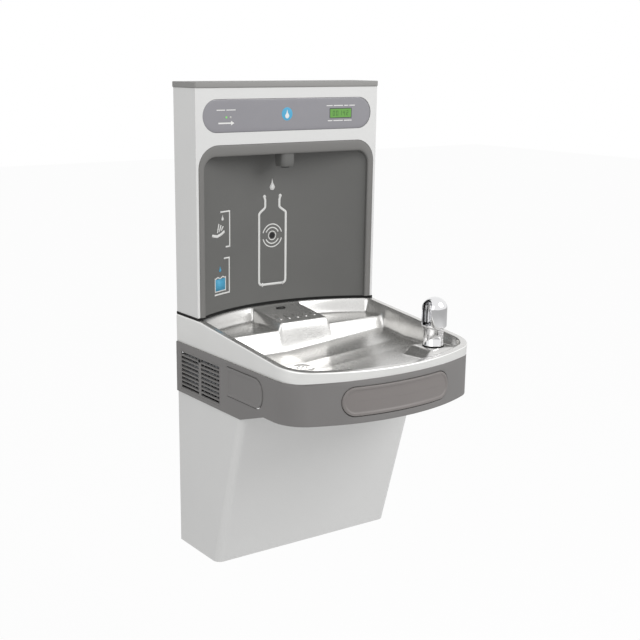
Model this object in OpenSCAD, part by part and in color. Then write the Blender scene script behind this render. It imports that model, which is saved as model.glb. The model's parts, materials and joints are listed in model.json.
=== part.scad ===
// Wall-hung bottle filling station: a filling tower over a drinking basin and a cooler cabinet.
// Millimetres. +X runs to the right along the wall, +Y points into the wall, +Z is up.
// The origin is the centre of the wall hanger's bolt pattern, on the wall's surface.

/* [Overall] */
// Height from the cabinet's lower edge to the top of the cap
unit_h = 1002; // [990:1:1030]
// Width of the tower and of the lower cabinet
tower_w = 460; // [450:1:475]
// Depth from the wall to the apron's lower front edge
unit_d = 484; // [478:1:496]

/* [Tower] */
// Depth of the tower from the wall to its front panel
tower_d = 88; // [84:1:94]
// Height of the grey cap
cap_h = 12; // [10:1:16]
// Sheet steel thickness of the tower and the cabinet
sheet_t = 1.5; // [1.2:0.1:1.8]

/* [Alcove] */
// Width of the alcove's liner, over its flange
alcove_w = 448; // [436:1:450]
// Height of the tower's head, from the alcove's top to the top of the cap
tower_head_h = 125; // [119:1:137]
// Radius of the alcove's upper corners
alcove_corner_r = 47; // [40:1:55]
// Depth of the curved back behind the tower's front
alcove_bow = 68; // [64:0.5:68]

/* [Display] */
// Width of the pill-shaped display window
pill_w = 426; // [400:1:430]
// Height of the display window
pill_h = 66; // [60:1:70]
// Gap between the alcove and the display window
pill_gap = 25; // [22:1:28]

/* [Basin] */
// Height of the basin's band at the wall
band_h = 60; // [56:1:66]
// Height of the basin's band at the front
band_front_h = 19; // [16:1:24]
// How far the basin's front lip stays behind the apron's lower front edge
basin_inset = 5; // [0:1:9]
// Width of the flat lip round the basin
lip_w = 13; // [11:0.5:15]
// Drop from the rim to the bottle deck
deck_drop = 30; // [26:1:34]
// Distance from the wall to the ridge between deck and bowl
ridge_y = 143; // [138:1:150]
// Half width of the raised bottle platform
platform_half_w = 60; // [56:1:66]
// Height of the bottle platform's front above the deck
platform_rise = 15; // [12:1:17]

/* [Drain] */
// Distance of the drain to the left of the middle
drain_x = 84; // [80:1:90]
// Distance of the drain from the wall
drain_y = 258; // [252:1:264]
// Outer diameter of the waste tube
waste_d = 31.75; // [31:0.25:32.5]

/* [Bubbler] */
// Distance of the bubbler from the tower's right side
bubbler_inset = 58; // [55:1:64]
// Distance of the bubbler behind the apron's lower front edge
bubbler_setback = 116; // [112:1:120]
// Outer diameter of the bubbler's stem
stem_d = 43; // [38:0.5:45]
// Height of the bubbler above its seat
bubbler_h = 103; // [95:1:110]

/* [Apron] */
// Height of the apron's sides
apron_h = 110; // [106:1:116]
// Height of the bowl's underside above the apron's side bottom
apron_step = 27; // [24:1:30]
// How far the apron's upper front edge stays behind its lower one
apron_lean = 11; // [8:1:14]
// Wall thickness of the apron
apron_t = 3; // [2.5:0.25:3.5]

/* [Push bars] */
// Width of the front push bar
front_bar_w = 266; // [250:1:276]
// Height of the front push bar
front_bar_h = 56; // [52:1:60]
// Travel of every push bar
bar_travel = 5; // [3:0.5:6]
// Diameter of the bars' guide posts
post_d = 8; // [7:0.5:9]

/* [Lower cabinet] */
// Height of the steel cabinet below the apron
cabinet_h = 350; // [344:1:362]
// Depth of the cabinet at its lower edge
cabinet_foot_d = 157; // [152:1:164]
// Depth of the cabinet at its upper edge
cabinet_head_d = 257; // [250:1:262]
// Radius of the cabinet's front corners
cabinet_corner_r = 16; // [10:1:20]

/* [Wall hanger] */
// Height of the bolt pattern above the cabinet's lower edge
hanger_rise = 390; // [384:1:394]
// Sideways distance between the hanger's bolt holes
hanger_bolt_x = 240; // [220:1:250]
// Upright distance between the hanger's bolt holes
hanger_bolt_z = 40; // [32:1:44]
// Diameter of the hanger's bolt holes
hanger_bolt_d = 9; // [7:0.5:10]

/* [Cooling] */
// Diameter of the compressor's shell
compressor_d = 120; // [108:1:124]
// Diameter of the cooling tank
tank_d = 108; // [96:1:112]
// Diameter of the cooling fan
fan_d = 82; // [74:1:84]
// Diameter of the filter cartridge
cartridge_d = 76; // [66:1:80]

/* [Hidden] */
basin_d = unit_d - basin_inset;
apron_head_d = unit_d - apron_lean;
bubbler_x = tower_w / 2 - bubbler_inset;
bubbler_y = unit_d - bubbler_setback;

// Curve steps: round cuts and pins, and small parts
round_fn = 64;
small_fn = 32;
// Overrun of every cut past the surface that it opens
over = 1;
// Gap between pieces that lie side by side without touching
gap = 0.5;
// Running clearance on the radius of a pin in its bore
run_clear = 0.06;

// Heights of the main levels above the origin
base_z = -hanger_rise;
apron_z = base_z + cabinet_h;
bowl_under_z = apron_z + apron_step;
band_z = apron_z + apron_h;
rim_z = band_z + band_h;
gasket_t = 5;
tower_z = rim_z + gasket_t;
top_z = base_z + unit_h;
cap_z = top_z - cap_h;
alcove_top_z = top_z - tower_head_h;
pill_z = alcove_top_z + pill_gap + pill_h / 2;

// Widths that follow the tower's
apron_proud = 3.5;
apron_w = tower_w + 2 * apron_proud;
basin_w = tower_w + apron_proud;

// Eased step from 0 to 1
function ease(t) = let (c = min(1, max(0, t))) c * c * (3 - 2 * c);
// Value between two others
function mix(a, b, t) = a + (b - a) * t;
// Ascending copy of a list of numbers
function sorted(v) = len(v) < 2 ? v : let (p = v[floor(len(v) / 2)])
    concat(sorted([for (a = v) if (a < p) a]), [for (a = v) if (a == p) a],
        sorted([for (a = v) if (a > p) a]));

// Plan of a D-shaped front: w is half the width, f its depth, big the radius of
// the front and small that of the corners. Depths are negative Y.
function d_centre(f, big) = big - f;
function d_side(w, f, big, small) = d_centre(f, big) - sqrt(pow(big - small, 2) - pow(w - small, 2));
function d_turn(w, f, big, small) = (w - small) * big / (big - small);
function d_front(x, w, f, big, small) = abs(x) <= d_turn(w, f, big, small)
    ? d_centre(f, big) - sqrt(big * big - x * x)
    : d_side(w, f, big, small) - sqrt(max(0, small * small - pow(abs(x) - w + small, 2)));
corner_steps = 6;
front_steps = 16;
function d_corner(w, f, big, small) = let (
    a = acos((w - small) / (big - small)), c = [w - small, d_side(w, f, big, small)])
    [for (i = [0:corner_steps]) c + small * [cos(a * i / corner_steps), -sin(a * i / corner_steps)]];
function d_plan(w, f, big, small, rear = 0) = let (
    corner = d_corner(w, f, big, small), t = d_turn(w, f, big, small))
    concat([[-w, rear]],
        [for (p = corner) [-p.x, p.y]],
        [for (i = [1:front_steps - 1]) let (x = mix(-t, t, i / front_steps))
            [x, d_front(x, w, f, big, small)]],
        [for (i = [corner_steps:-1:0]) corner[i]],
        [[w, rear]]);

// Front shapes of the apron and the basin: radii of the front and of the corners
apron_head_big = 500;
apron_head_small = 52;
apron_foot_big = 455;
apron_foot_small = 76;
basin_big = 520;
basin_small = 72;
skirt_big = 540;
skirt_small = 56;

// A tube of round section along a list of points, with ball joints at its bends
module tube_path(points, r) {
    for (i = [0:len(points) - 2]) {
        d = points[i + 1] - points[i];
        translate(points[i])
            rotate([0, acos(d.z / norm(d)), atan2(d.y, d.x)])
                cylinder(r = r, h = norm(d), $fn = small_fn);
        if (i > 0)
            translate(points[i]) sphere(r = r, $fn = small_fn);
    }
}

// A box from its lowest corner to its highest
module span(low, high) {
    translate(low) cube(high - low);
}

// A ring or a disc along +Z
module ring(r, h, hole_r = 0, fn = round_fn) {
    difference() {
        cylinder(r = r, h = h, $fn = fn);
        if (hole_r > 0)
            translate([0, 0, -over]) cylinder(r = hole_r, h = h + 2 * over, $fn = fn);
    }
}

// The same with its axis along Y, from y0 towards the wall
module rod_y(x, z, y0, y1, r, fn = round_fn) {
    translate([x, y1, z]) rotate([90, 0, 0]) cylinder(r = r, h = y1 - y0, $fn = fn);
}

// The same with its axis along X, from x0 to x1
module rod_x(y, z, x0, x1, r, fn = round_fn) {
    translate([x0, y, z]) rotate([0, 90, 0]) cylinder(r = r, h = x1 - x0, $fn = fn);
}

// A pill outline in X and Z, extruded from y0 to y1
module pill_block(w, h, y0, y1) {
    translate([0, y1, 0]) rotate([90, 0, 0]) linear_extrude(y1 - y0) union() {
        square([w - h, h], center = true);
        for (s = [-1, 1]) translate([s * (w - h) / 2, 0]) circle(d = h, $fn = round_fn);
    }
}

// Wall hanger: a folded steel strip whose upturned edge carries the chassis
hanger_t = 2.5;
hanger_w = 280;
hanger_low = 45;
hanger_shelf_z = 30;
hanger_shelf_d = 14.5;
hanger_lip_z = 45;
module wall_hanger() {
    color("silver") difference() {
        union() {
            span([-hanger_w / 2, -hanger_t, -hanger_low], [hanger_w / 2, 0, hanger_shelf_z + hanger_t]);
            span([-hanger_w / 2, -hanger_shelf_d, hanger_shelf_z],
                [hanger_w / 2, 0, hanger_shelf_z + hanger_t]);
            span([-hanger_w / 2, -hanger_shelf_d, hanger_shelf_z],
                [hanger_w / 2, hanger_t - hanger_shelf_d, hanger_lip_z]);
        }
        for (x = [-1, 1], z = [-1, 1])
            rod_y(x * hanger_bolt_x / 2, z * hanger_bolt_z / 2, -hanger_t - over, over, hanger_bolt_d / 2);
    }
}

// Chassis: a rail that hooks over the hanger, two uprights, a base pan and a shelf
frame_t = 2;
upright_w = 20;
upright_y = -3;
rail_y = -19.5;
rail_low = -45;
rail_hook_y = -6;
rail_hook_drop = 10;
shroud_inner_x = tower_w / 2 - sheet_t;
pan_lift = 6;
pan_z = base_z + pan_lift;
pan_top_z = pan_z + frame_t;
pan_setback = 15.5;
pan_front_y = -cabinet_foot_d + pan_setback;
pan_lip_h = 18;
shroud_tuck = 8;
ear_z = apron_z + shroud_tuck + gap;
rail_top_z = hanger_lip_z + frame_t;
shelf_lift = 2;
shelf_z = apron_z + shelf_lift;
shelf_top_z = shelf_z + frame_t;
shelf_right_x = -108;
shelf_front_y = -150;
head_tab_x = 25;
head_tab_low = 90;
module chassis_frame() {
    color("gainsboro") difference() {
        chassis_sheets();
        translate([-drier_x, -drier_y, shelf_z - over])
            cylinder(r = line_r + gap, h = frame_t + 2 * over, $fn = small_fn);
    }
}
module chassis_sheets() {
    union() {
        span([-shroud_inner_x, rail_y, rail_low], [shroud_inner_x, rail_y + frame_t, rail_top_z]);
        span([-hanger_w / 2, rail_y, hanger_lip_z], [hanger_w / 2, rail_hook_y, rail_top_z]);
        span([-hanger_w / 2, rail_hook_y - frame_t, hanger_lip_z - rail_hook_drop],
            [hanger_w / 2, rail_hook_y, rail_top_z]);
        for (s = [-1, 1]) scale_x(s) {
            span([shroud_inner_x - upright_w, rail_y, pan_z],
                [shroud_inner_x, rail_y + frame_t, rail_top_z]);
            span([shroud_inner_x - frame_t, rail_y, pan_z], [shroud_inner_x, upright_y, rail_top_z]);
            span([shroud_inner_x - frame_t, rail_y, ear_z],
                [apron_w / 2 - apron_t, upright_y, rail_top_z]);
        }
        span([-shroud_inner_x, pan_front_y, pan_z], [shroud_inner_x, upright_y, pan_top_z]);
        span([-shroud_inner_x, pan_front_y, pan_z],
            [shroud_inner_x, pan_front_y + frame_t, pan_z + pan_lip_h]);
        span([-shroud_inner_x + over, shelf_front_y, shelf_z],
            [shelf_right_x, rail_y + frame_t, shelf_top_z]);
        span([-head_tab_x, rail_y, -head_tab_low], [head_tab_x, rail_y + frame_t, rail_low + over]);
    }
}

// Mirror image in the middle plane for a negative sign
module scale_x(s) {
    if (s < 0) mirror([1, 0, 0]) children();
    else children();
}

// Cabinet shroud: a sheet steel wrapper whose front slopes out towards the top
front_lean = atan((cabinet_head_d - cabinet_foot_d) / cabinet_h);
module cabinet_block(inset) {
    tuck_h = cabinet_h + shroud_tuck;
    lean = tan(front_lean);
    intersection() {
        translate([-tower_w / 2 + inset, 0, base_z]) rotate([90, 0, 90])
            linear_extrude(tower_w - 2 * inset)
                polygon([[over * sign(inset), -over * sign(inset)],
                    [-cabinet_foot_d + inset + lean * over * sign(inset), -over * sign(inset)],
                    [-cabinet_foot_d + inset - lean * (tuck_h + over * sign(inset)), tuck_h + over * sign(inset)],
                    [over * sign(inset), tuck_h + over * sign(inset)]]);
        translate([0, -cabinet_foot_d + inset, base_z]) rotate([front_lean, 0, 0])
            translate([0, 0, -cabinet_foot_d]) linear_extrude(2 * cabinet_h)
                union() {
                    r = cabinet_corner_r - inset;
                    w = tower_w / 2 - inset;
                    translate([-w, r]) square([2 * w, unit_d]);
                    translate([-w + r, 0]) square([2 * (w - r), unit_d]);
                    for (s = [-1, 1]) translate([s * (w - r), r]) circle(r = r, $fn = round_fn);
                }
    }
}
module cabinet_shroud() {
    color("lightgray") difference() {
        cabinet_block(0);
        cabinet_block(sheet_t);
    }
}

// Apron: a moulded skirt whose front leans out towards its lower edge
apron_side_d = 256;
apron_rise_d = 340;
apron_floor_y = -apron_side_d - apron_t - over;
function side_profile(lift, reach) = [
    [-reach, bowl_under_z + lift],
    [-apron_rise_d, bowl_under_z + lift],
    [-apron_side_d, apron_z + lift],
    [reach, apron_z + lift],
    [reach, band_z + reach],
    [-reach, band_z + reach]];
module apron_loft(grow, top_grow = 0) {
    slice = over;
    hull() {
        translate([0, 0, band_z + top_grow - slice]) linear_extrude(slice)
            polygon(d_plan(apron_w / 2 + grow, apron_head_d + grow, apron_head_big + grow,
                apron_head_small + grow, top_grow));
        translate([0, 0, apron_z - top_grow]) linear_extrude(slice)
            polygon(d_plan(apron_w / 2 + grow, unit_d + grow, apron_foot_big + grow,
                apron_foot_small + grow, top_grow));
    }
}
module side_cut(lift) {
    translate([-apron_w, 0, 0]) rotate([90, 0, 90]) linear_extrude(2 * apron_w)
        polygon(side_profile(lift, unit_d + apron_w));
}
grille_low = 8;
grille_high = 96;
grille_rear = 18;
grille_front = 180;
bar_gap = 1.5;
switch_w = 20;
switch_h = 12;
switch_t = 10;
plunger_r = 3;
plunger_gap = 0.5;
bar_rise = 42;
bar_mid_z = bowl_under_z + bar_rise;
side_bar_rear = 209;
side_bar_front = 337;
side_bar_h = 60;
side_bar_r = 25;
module front_bar_block(grow) {
    translate([0, 0, bar_mid_z])
        pill_block(front_bar_w + 2 * grow, front_bar_h + 2 * grow, -unit_d - apron_t * 2, -unit_d * 3 / 4);
}
module side_bar_block(grow) {
    h = side_bar_h + 2 * grow;
    r = side_bar_r + grow;
    depth = apron_t * 5;
    translate([apron_w / 2 - depth, 0, bar_mid_z]) rotate([90, 0, 90]) linear_extrude(depth * 2) union() {
        translate([-side_bar_front - grow + r, -h / 2])
            square([side_bar_front - side_bar_rear + 2 * grow - r, h]);
        translate([-side_bar_front - grow, -h / 2 + r])
            square([side_bar_front - side_bar_rear, h - 2 * r]);
        for (z = [-1, 1]) translate([-side_bar_front - grow + r, z * (h / 2 - r)])
            circle(r = r, $fn = round_fn);
    }
}
module apron() {
    color("dimgray") difference() {
        intersection() {
            apron_loft(0);
            side_cut(0);
        }
        intersection() {
            apron_loft(-apron_t, over);
            side_cut(apron_t);
        }
        span([-apron_w / 2 + apron_t, apron_floor_y, apron_z - over],
            [apron_w / 2 - apron_t, over, apron_z + apron_step]);
        for (s = [-1, 1]) scale_x(s) {
            span([apron_w / 2 - apron_t - over, -grille_front, apron_z + grille_low],
                [apron_w / 2 + over, -grille_rear, apron_z + grille_high]);
            side_bar_block(bar_gap);
        }
        front_bar_block(bar_gap);
    }
}

// Louvred grilles in the apron's sides, each with a middle rib
slot_count = 9;
slot_share = 0.52;
grille_rim = 3;
grille_rib_w = 9;
grille_t = 2.4;
screw_d = 5;
grille_screw_drop = 9;
module grille(s) {
    low = apron_z + grille_low;
    high = apron_z + grille_high;
    pitch = (high - low - 2 * grille_rim) / slot_count;
    mid = -(grille_rear + grille_front) / 2;
    color("dimgray") scale_x(s) difference() {
        span([apron_w / 2 - grille_t, -grille_front, low], [apron_w / 2, -grille_rear, high]);
        for (i = [0:slot_count - 1], half = [0, 1]) {
            z = low + grille_rim + pitch * (i + (1 - slot_share) / 2);
            y0 = half == 0 ? -grille_front + grille_rim : mid + grille_rib_w / 2;
            y1 = half == 0 ? mid - grille_rib_w / 2 : -grille_rear - grille_rim;
            span([apron_w / 2 - grille_t - over, y0, z], [apron_w / 2 + over, y1, z + pitch * slot_share]);
        }
        rod_x(mid, high - grille_screw_drop, apron_w / 2 - grille_t - over, apron_w / 2 + over,
            screw_d / 2, small_fn);
    }
}
screw_head_d = 8;
screw_head_h = 1.6;
module grille_screws() {
    mid = -(grille_rear + grille_front) / 2;
    z = apron_z + grille_high - grille_screw_drop;
    color("silver") for (s = [-1, 1]) scale_x(s) {
        rod_x(mid, z, apron_w / 2, apron_w / 2 + screw_head_h, screw_head_d / 2, small_fn);
        rod_x(mid, z, apron_w / 2 - grille_t * 2, apron_w / 2 + over / 2, screw_d / 2 - gap, small_fn);
    }
}

// Push bars: each rides on two posts and returns on springs
bar_proud = 2;
bar_t = 5;
bar_boss_r = 7;
front_post_x = 92;
front_guide_setback = 44;
front_guide_y = front_guide_setback - unit_d;
guide_t = 6;
post_spare = 5;
post_reach = bar_travel + post_spare;
guide_low = bowl_under_z + apron_t;
guide_rise = 12;
guide_high = bar_mid_z + guide_rise;
side_guide_inset = 33.5;
side_guide_x = apron_w / 2 - side_guide_inset;
side_post_rear = 238;
side_post_front = 308;
post_r = post_d / 2;
// Face of the apron at the height of the bars
bar_share = (bar_mid_z - apron_z) / apron_h;
function bar_face_y(x) = d_front(x, apron_w / 2, mix(unit_d, apron_head_d, bar_share),
    mix(apron_foot_big, apron_head_big, bar_share), mix(apron_foot_small, apron_head_small, bar_share));
module front_push_bar() {
    color("gray") union() {
        intersection() {
            difference() {
                apron_loft(bar_proud, bar_proud);
                apron_loft(bar_proud - bar_t, over * 4);
            }
            front_bar_block(0);
        }
        for (x = [-1, 1])
            rod_y(x * front_post_x, bar_mid_z, bar_face_y(front_post_x) - bar_proud + bar_t / 2,
                front_guide_y + guide_t + post_reach, post_r);
        rod_y(0, bar_mid_z, bar_face_y(0) - bar_proud + bar_t / 2,
            front_guide_y - switch_t - bar_travel - plunger_gap, plunger_r, small_fn);
    }
}
module side_push_bar(s) {
    color("gray") scale_x(s) union() {
        intersection() {
            span([apron_w / 2 + bar_proud - bar_t, -unit_d, apron_z], [apron_w / 2 + bar_proud, 0, band_z]);
            side_bar_block(0);
        }
        for (y = [side_post_rear, side_post_front])
            rod_x(-y, bar_mid_z, side_guide_x - guide_t - post_reach, apron_w / 2, post_r);
        rod_x(-(side_post_rear + side_post_front) / 2, bar_mid_z,
            side_guide_x + switch_t + bar_travel + plunger_gap, apron_w / 2, plunger_r, small_fn);
    }
}

// Guide brackets: plates with a bore for each post, on feet that stand on the apron
front_guide_w = 220;
side_guide_rear = 198;
side_guide_front = 350;
module bar_guides() {
    bore = post_r + run_clear;
    color("gainsboro") {
        difference() {
            span([-front_guide_w / 2, front_guide_y, guide_low], [front_guide_w / 2, front_guide_y + guide_t, guide_high]);
            for (x = [-1, 1]) rod_y(x * front_post_x, bar_mid_z, front_guide_y - over,
                front_guide_y + guide_t + over, bore);
        }
        for (s = [-1, 1]) scale_x(s) difference() {
            union() {
                span([side_guide_x - guide_t, -side_guide_front, bar_mid_z - side_bar_h / 3],
                    [side_guide_x, -side_guide_rear, bar_mid_z + side_bar_h / 3]);
                for (y = [side_guide_rear, side_guide_front - frame_t])
                    span([side_guide_x - guide_t, -y - frame_t, bar_mid_z - side_bar_h / 3],
                        [apron_w / 2 - apron_t, -y, bar_mid_z + side_bar_h / 3]);
            }
            for (y = [side_post_rear, side_post_front])
                rod_x(-y, bar_mid_z, side_guide_x - guide_t - over, side_guide_x + over, bore);
        }
    }
}

// Return springs round the posts, drawn as plain sleeves
spring_wall = 1.6;
module spring_sleeve(h) {
    ring(post_r + spring_wall + gap, h, post_r + gap, small_fn);
}
front_spring_h = front_guide_y - bar_face_y(front_post_x + bar_boss_r) + bar_proud - bar_t - gap;
module front_bar_springs() {
    color("silver") for (x = [-1, 1])
        translate([x * front_post_x, front_guide_y, bar_mid_z]) rotate([90, 0, 0])
            spring_sleeve(front_spring_h);
}
module side_bar_springs(s) {
    color("silver") scale_x(s) for (y = [side_post_rear, side_post_front])
        translate([side_guide_x, -y, bar_mid_z]) rotate([0, 90, 0])
            spring_sleeve(apron_w / 2 + bar_proud - bar_t - side_guide_x);
}

// Micro-switches behind the bars, on the guide plates
module bar_switches() {
    color("black") {
        span([-switch_w / 2, front_guide_y - switch_t, bar_mid_z - switch_h / 2],
            [switch_w / 2, front_guide_y, bar_mid_z + switch_h / 2]);
        mid = -(side_post_rear + side_post_front) / 2;
        for (s = [-1, 1]) scale_x(s)
            span([side_guide_x, mid - switch_w / 2, bar_mid_z - switch_h / 2],
                [side_guide_x + switch_t, mid + switch_w / 2, bar_mid_z + switch_h / 2]);
    }
}

// Basin: one pressed sheet with a sloping rim, a bottle deck, a ridge and a bowl
basin_t = 2.4;
rim_flat = 4;
deck_z = rim_z - deck_drop;
wall_run = 12;
slope_run = 20;
drain_drop = 24;
drain_z = band_z - drain_drop;
drain_seat = 29;
drain_hole_r = 19;
seat_rise = 12;
bubbler_seat_z = band_z + seat_rise;
bubbler_seat = 27;
bubbler_rise = 26;
shank_r = 13;
floor_rise_left = 0.2;
floor_rise_right = 0.081;
floor_rise_back = 0.143;
floor_rise_front = 0.05;
arc_r = (pow(alcove_w / 2, 2) + pow(alcove_bow, 2)) / (2 * alcove_bow);
arc_y = -tower_d + alcove_bow - arc_r;
// Depth of the alcove's curved back at x
function arc(x, grow = 0) = arc_y + sqrt(pow(arc_r + grow, 2) - x * x);
in_w = basin_w / 2 - lip_w;
function rim_at(y) = y > -tower_d - rim_flat ? rim_z
    : mix(rim_z, band_z + band_front_h, (-y - tower_d - rim_flat) / (basin_d - tower_d - rim_flat));
function lip_front(x) = d_front(min(abs(x), in_w), in_w, basin_d - lip_w, basin_big - lip_w, basin_small - lip_w);
function lip_rear(x) = arc(min(abs(x), in_w)) - lip_w / 2;
function over_seat(d, seat) = max(0, abs(d) - seat);
function bowl_at(x, y) = let (
    dx = over_seat(x + drain_x, drain_seat), dy = over_seat(y + drain_y, drain_seat),
    floor_z = drain_z + dx * (x < -drain_x ? floor_rise_left : floor_rise_right)
        + dy * (y > -drain_y ? floor_rise_back : floor_rise_front),
    bx = over_seat(x - bubbler_x, bubbler_seat), by = over_seat(y + bubbler_y, bubbler_seat))
    mix(floor_z, max(floor_z, bubbler_seat_z), 1 - ease(norm([bx, by]) / bubbler_rise));
platform_slope = 0.12;
function platform_at(y) = deck_z + platform_rise + platform_slope * max(0, ridge_y + y);
function deck_at(x, y) = mix(platform_at(y), deck_z, ease((abs(x) - platform_half_w) / (wall_run / 2)));
function basin_at(x, y) = let (
    inside = mix(deck_at(x, y), bowl_at(x, y), ease((-ridge_y - y) / slope_run)),
    side = ease((in_w - abs(x)) / wall_run),
    front = ease((y - lip_front(x)) / wall_run),
    back = ease((lip_rear(x) - y) / wall_run))
    mix(rim_at(y), inside, side * front * back);

// Grid of the pressing: columns across, and rows from the wall to the front lip
half_columns = [in_w - wall_run, in_w - wall_run / 2, in_w, basin_w / 2 - lip_w / 4, basin_w / 2];
column_shares = [0.24, 0.5, 0.76];
columns = let (
    left = -drain_x - drain_seat, right = bubbler_x - bubbler_seat,
    p0 = platform_half_w, p1 = platform_half_w + wall_run / 2)
    sorted(concat(half_columns, [for (x = half_columns) -x],
        [left, -drain_x, -drain_x + drain_seat + over, -p1, -p0, p0, p1, right, bubbler_x],
        [mix(left, -in_w + wall_run, 1 / 3), mix(left, -in_w + wall_run, 2 / 3)],
        [for (s = column_shares) mix(-drain_x + drain_seat, p0, s)],
        [mix(p1, right, 1 / 3), mix(p1, right, 2 / 3), bubbler_x + bubbler_seat]));
deck_rows = 3;
row_set = [ridge_y, ridge_y + slope_run / 3, ridge_y + slope_run * 2 / 3, ridge_y + slope_run,
    mix(ridge_y + slope_run, drain_y - drain_seat, 1 / 2), drain_y - drain_seat, drain_y,
    drain_y + drain_seat, mix(drain_y + drain_seat, bubbler_y - bubbler_seat, 1 / 2),
    bubbler_y - bubbler_seat, bubbler_y, bubbler_y + bubbler_seat];
function row_squeeze(x) = min(1, (-lip_front(x) - 2 * wall_run) / row_set[len(row_set) - 1]);
function outer_front(x) = d_front(x, basin_w / 2, basin_d, basin_big, basin_small);
function front_edge(x) = max(lip_front(x), outer_front(x) + lip_w / 2);
function rows_at(x) = let (
    k = row_squeeze(x), r = lip_rear(x), f = front_edge(x),
    last = -row_set[len(row_set) - 1] * k, first = r - wall_run)
    concat([0, r, r - wall_run / 2, first],
        [for (i = [1:deck_rows - 1]) mix(first, -row_set[0] * k, i / deck_rows)],
        [for (y = row_set) -y * k],
        [mix(last, f + wall_run, 1 / 2), f + wall_run, f + wall_run / 2, f, outer_front(x)]);
row_count = len(rows_at(0));
column_count = len(columns);
basin_top = [for (x = columns, y = rows_at(x)) [x, y, basin_at(x, y)]];
// Lower face of the sheet: straight down, drawn in under the lip
skirt_inset = 0.25;
skirt_setback = 7;
skirt_w = basin_w / 2 - skirt_inset;
skirt_d = basin_d - skirt_setback;
function draw_in(p, t) = let (
    side = max(0, abs(p.x) - in_w) / (basin_w / 2 - in_w),
    front = max(0, front_edge(p.x) - p.y) / (front_edge(p.x) - outer_front(p.x)))
    [p.x - sign(p.x) * t * side, min(-t, p.y + t * front), p.z];
basin_under = [for (p = basin_top) draw_in(p, basin_t) - [0, 0, basin_t]];
edge_ids = concat(
    [for (j = [0:row_count - 1]) j],
    [for (i = [1:column_count - 1]) i * row_count + row_count - 1],
    [for (j = [row_count - 2:-1:0]) (column_count - 1) * row_count + j],
    [for (i = [column_count - 2:-1:1]) i * row_count]);
function skirt_side(t) = d_side(skirt_w - t, skirt_d - t, skirt_big - t, skirt_small - t)
    / d_side(basin_w / 2, basin_d, basin_big, basin_small);
function skirt_point(p, t) = let (x = p.x * (skirt_w - t) / (basin_w / 2))
    [x, p.y > -over ? -t : abs(p.x) > basin_w / 2 - over ? p.y * skirt_side(t)
        : d_front(x, skirt_w - t, skirt_d - t, skirt_big - t, skirt_small - t), band_z];
skirt_out = [for (k = edge_ids) skirt_point(basin_top[k], 0)];
skirt_in = [for (k = edge_ids) skirt_point(basin_top[k], basin_t)];
module basin_sheet() {
    n = len(basin_top);
    m = len(edge_ids);
    function quad(a, b, c, d) = [[a, c, b], [a, d, c]];
    top_faces = [for (i = [0:column_count - 2], j = [0:row_count - 2])
        let (a = i * row_count + j) each quad(a, a + 1, a + row_count + 1, a + row_count)];
    under_faces = [for (f = top_faces) [n + f[2], n + f[1], n + f[0]]];
    side_faces = [for (k = [0:m - 1]) let (l = (k + 1) % m, a = edge_ids[k], b = edge_ids[l])
        each concat(
            quad(a, 2 * n + k, 2 * n + l, b),
            quad(2 * n + k, 2 * n + m + k, 2 * n + m + l, 2 * n + l),
            quad(2 * n + m + k, n + a, n + b, 2 * n + m + l))];
    polyhedron(points = concat(basin_top, basin_under, skirt_out, skirt_in),
        faces = concat(top_faces, under_faces, side_faces), convexity = 8);
}
deck_drain_y = 56;
deck_drain_r = 7;
rib_count = 5;
rib_pitch = 22;
rib_y = 112;
rib_r = 3.5;
rib_l = 26;
rib_h = 2;
hose_r = 4;
filler_hose_x = 160;
filler_hose_y = 12;
module basin() {
    color("whitesmoke") difference() {
        union() {
            basin_sheet();
            for (i = [0:rib_count - 1])
                translate([(i - (rib_count - 1) / 2) * rib_pitch, -rib_y, platform_at(-rib_y)])
                    rotate([atan(platform_slope), 0, 0]) translate([0, 0, -rib_h / 2])
                        linear_extrude(rib_h * 3 / 2) union() {
                            square([2 * rib_r, rib_l - 2 * rib_r], center = true);
                            for (s = [-1, 1]) translate([0, s * (rib_l / 2 - rib_r)])
                                circle(r = rib_r, $fn = small_fn);
                        }
        }
        translate([-drain_x, -drain_y, drain_z - band_h]) cylinder(r = drain_hole_r, h = 2 * band_h, $fn = round_fn);
        translate([bubbler_x, -bubbler_y, band_z]) cylinder(r = shank_r + gap, h = band_h, $fn = round_fn);
        translate([0, -deck_drain_y, band_z]) cylinder(r = deck_drain_r, h = band_h * 2, $fn = small_fn);
        translate([-filler_hose_x, -filler_hose_y, band_z]) cylinder(r = hose_r + gap, h = 2 * band_h, $fn = small_fn);
    }
}

// Drain: a strainer through the basin's floor, its nut, and the waste tube to the wall
strainer_r = 26;
strainer_t = 1.6;
strainer_cup_r = 18.4;
strainer_cup_h = 24;
strainer_wall = 2.2;
strainer_hole_r = 2.1;
strainer_ring_r = 9.5;
strainer_holes = 8;
waste_r = waste_d / 2;
waste_gap = 0.3;
module drain_strainer() {
    color("silver") translate([-drain_x, -drain_y, drain_z]) difference() {
        union() {
            cylinder(r = strainer_r, h = strainer_t, $fn = round_fn);
            translate([0, 0, -strainer_cup_h]) cylinder(r = strainer_cup_r, h = strainer_cup_h, $fn = round_fn);
        }
        translate([0, 0, -strainer_cup_h - over])
            cylinder(r = strainer_cup_r - strainer_wall, h = strainer_cup_h, $fn = round_fn);
        for (i = [0:strainer_holes - 1]) rotate(i * 360 / strainer_holes)
            translate([strainer_ring_r, 0, -strainer_wall]) cylinder(r = strainer_hole_r, h = band_h, $fn = small_fn);
        translate([0, 0, -strainer_wall]) cylinder(r = strainer_hole_r, h = band_h, $fn = small_fn);
    }
}
nut_h = 12;
nut_wall = 6;
module strainer_nut() {
    color("silver") translate([-drain_x, -drain_y, drain_z - basin_t - nut_h])
        ring(strainer_cup_r + nut_wall, nut_h, strainer_cup_r + waste_gap / 2);
}
waste_drop = 70;
waste_bend_z = band_z - waste_drop;
waste_drop_y = 150;
waste_wall_h = 262;
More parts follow.
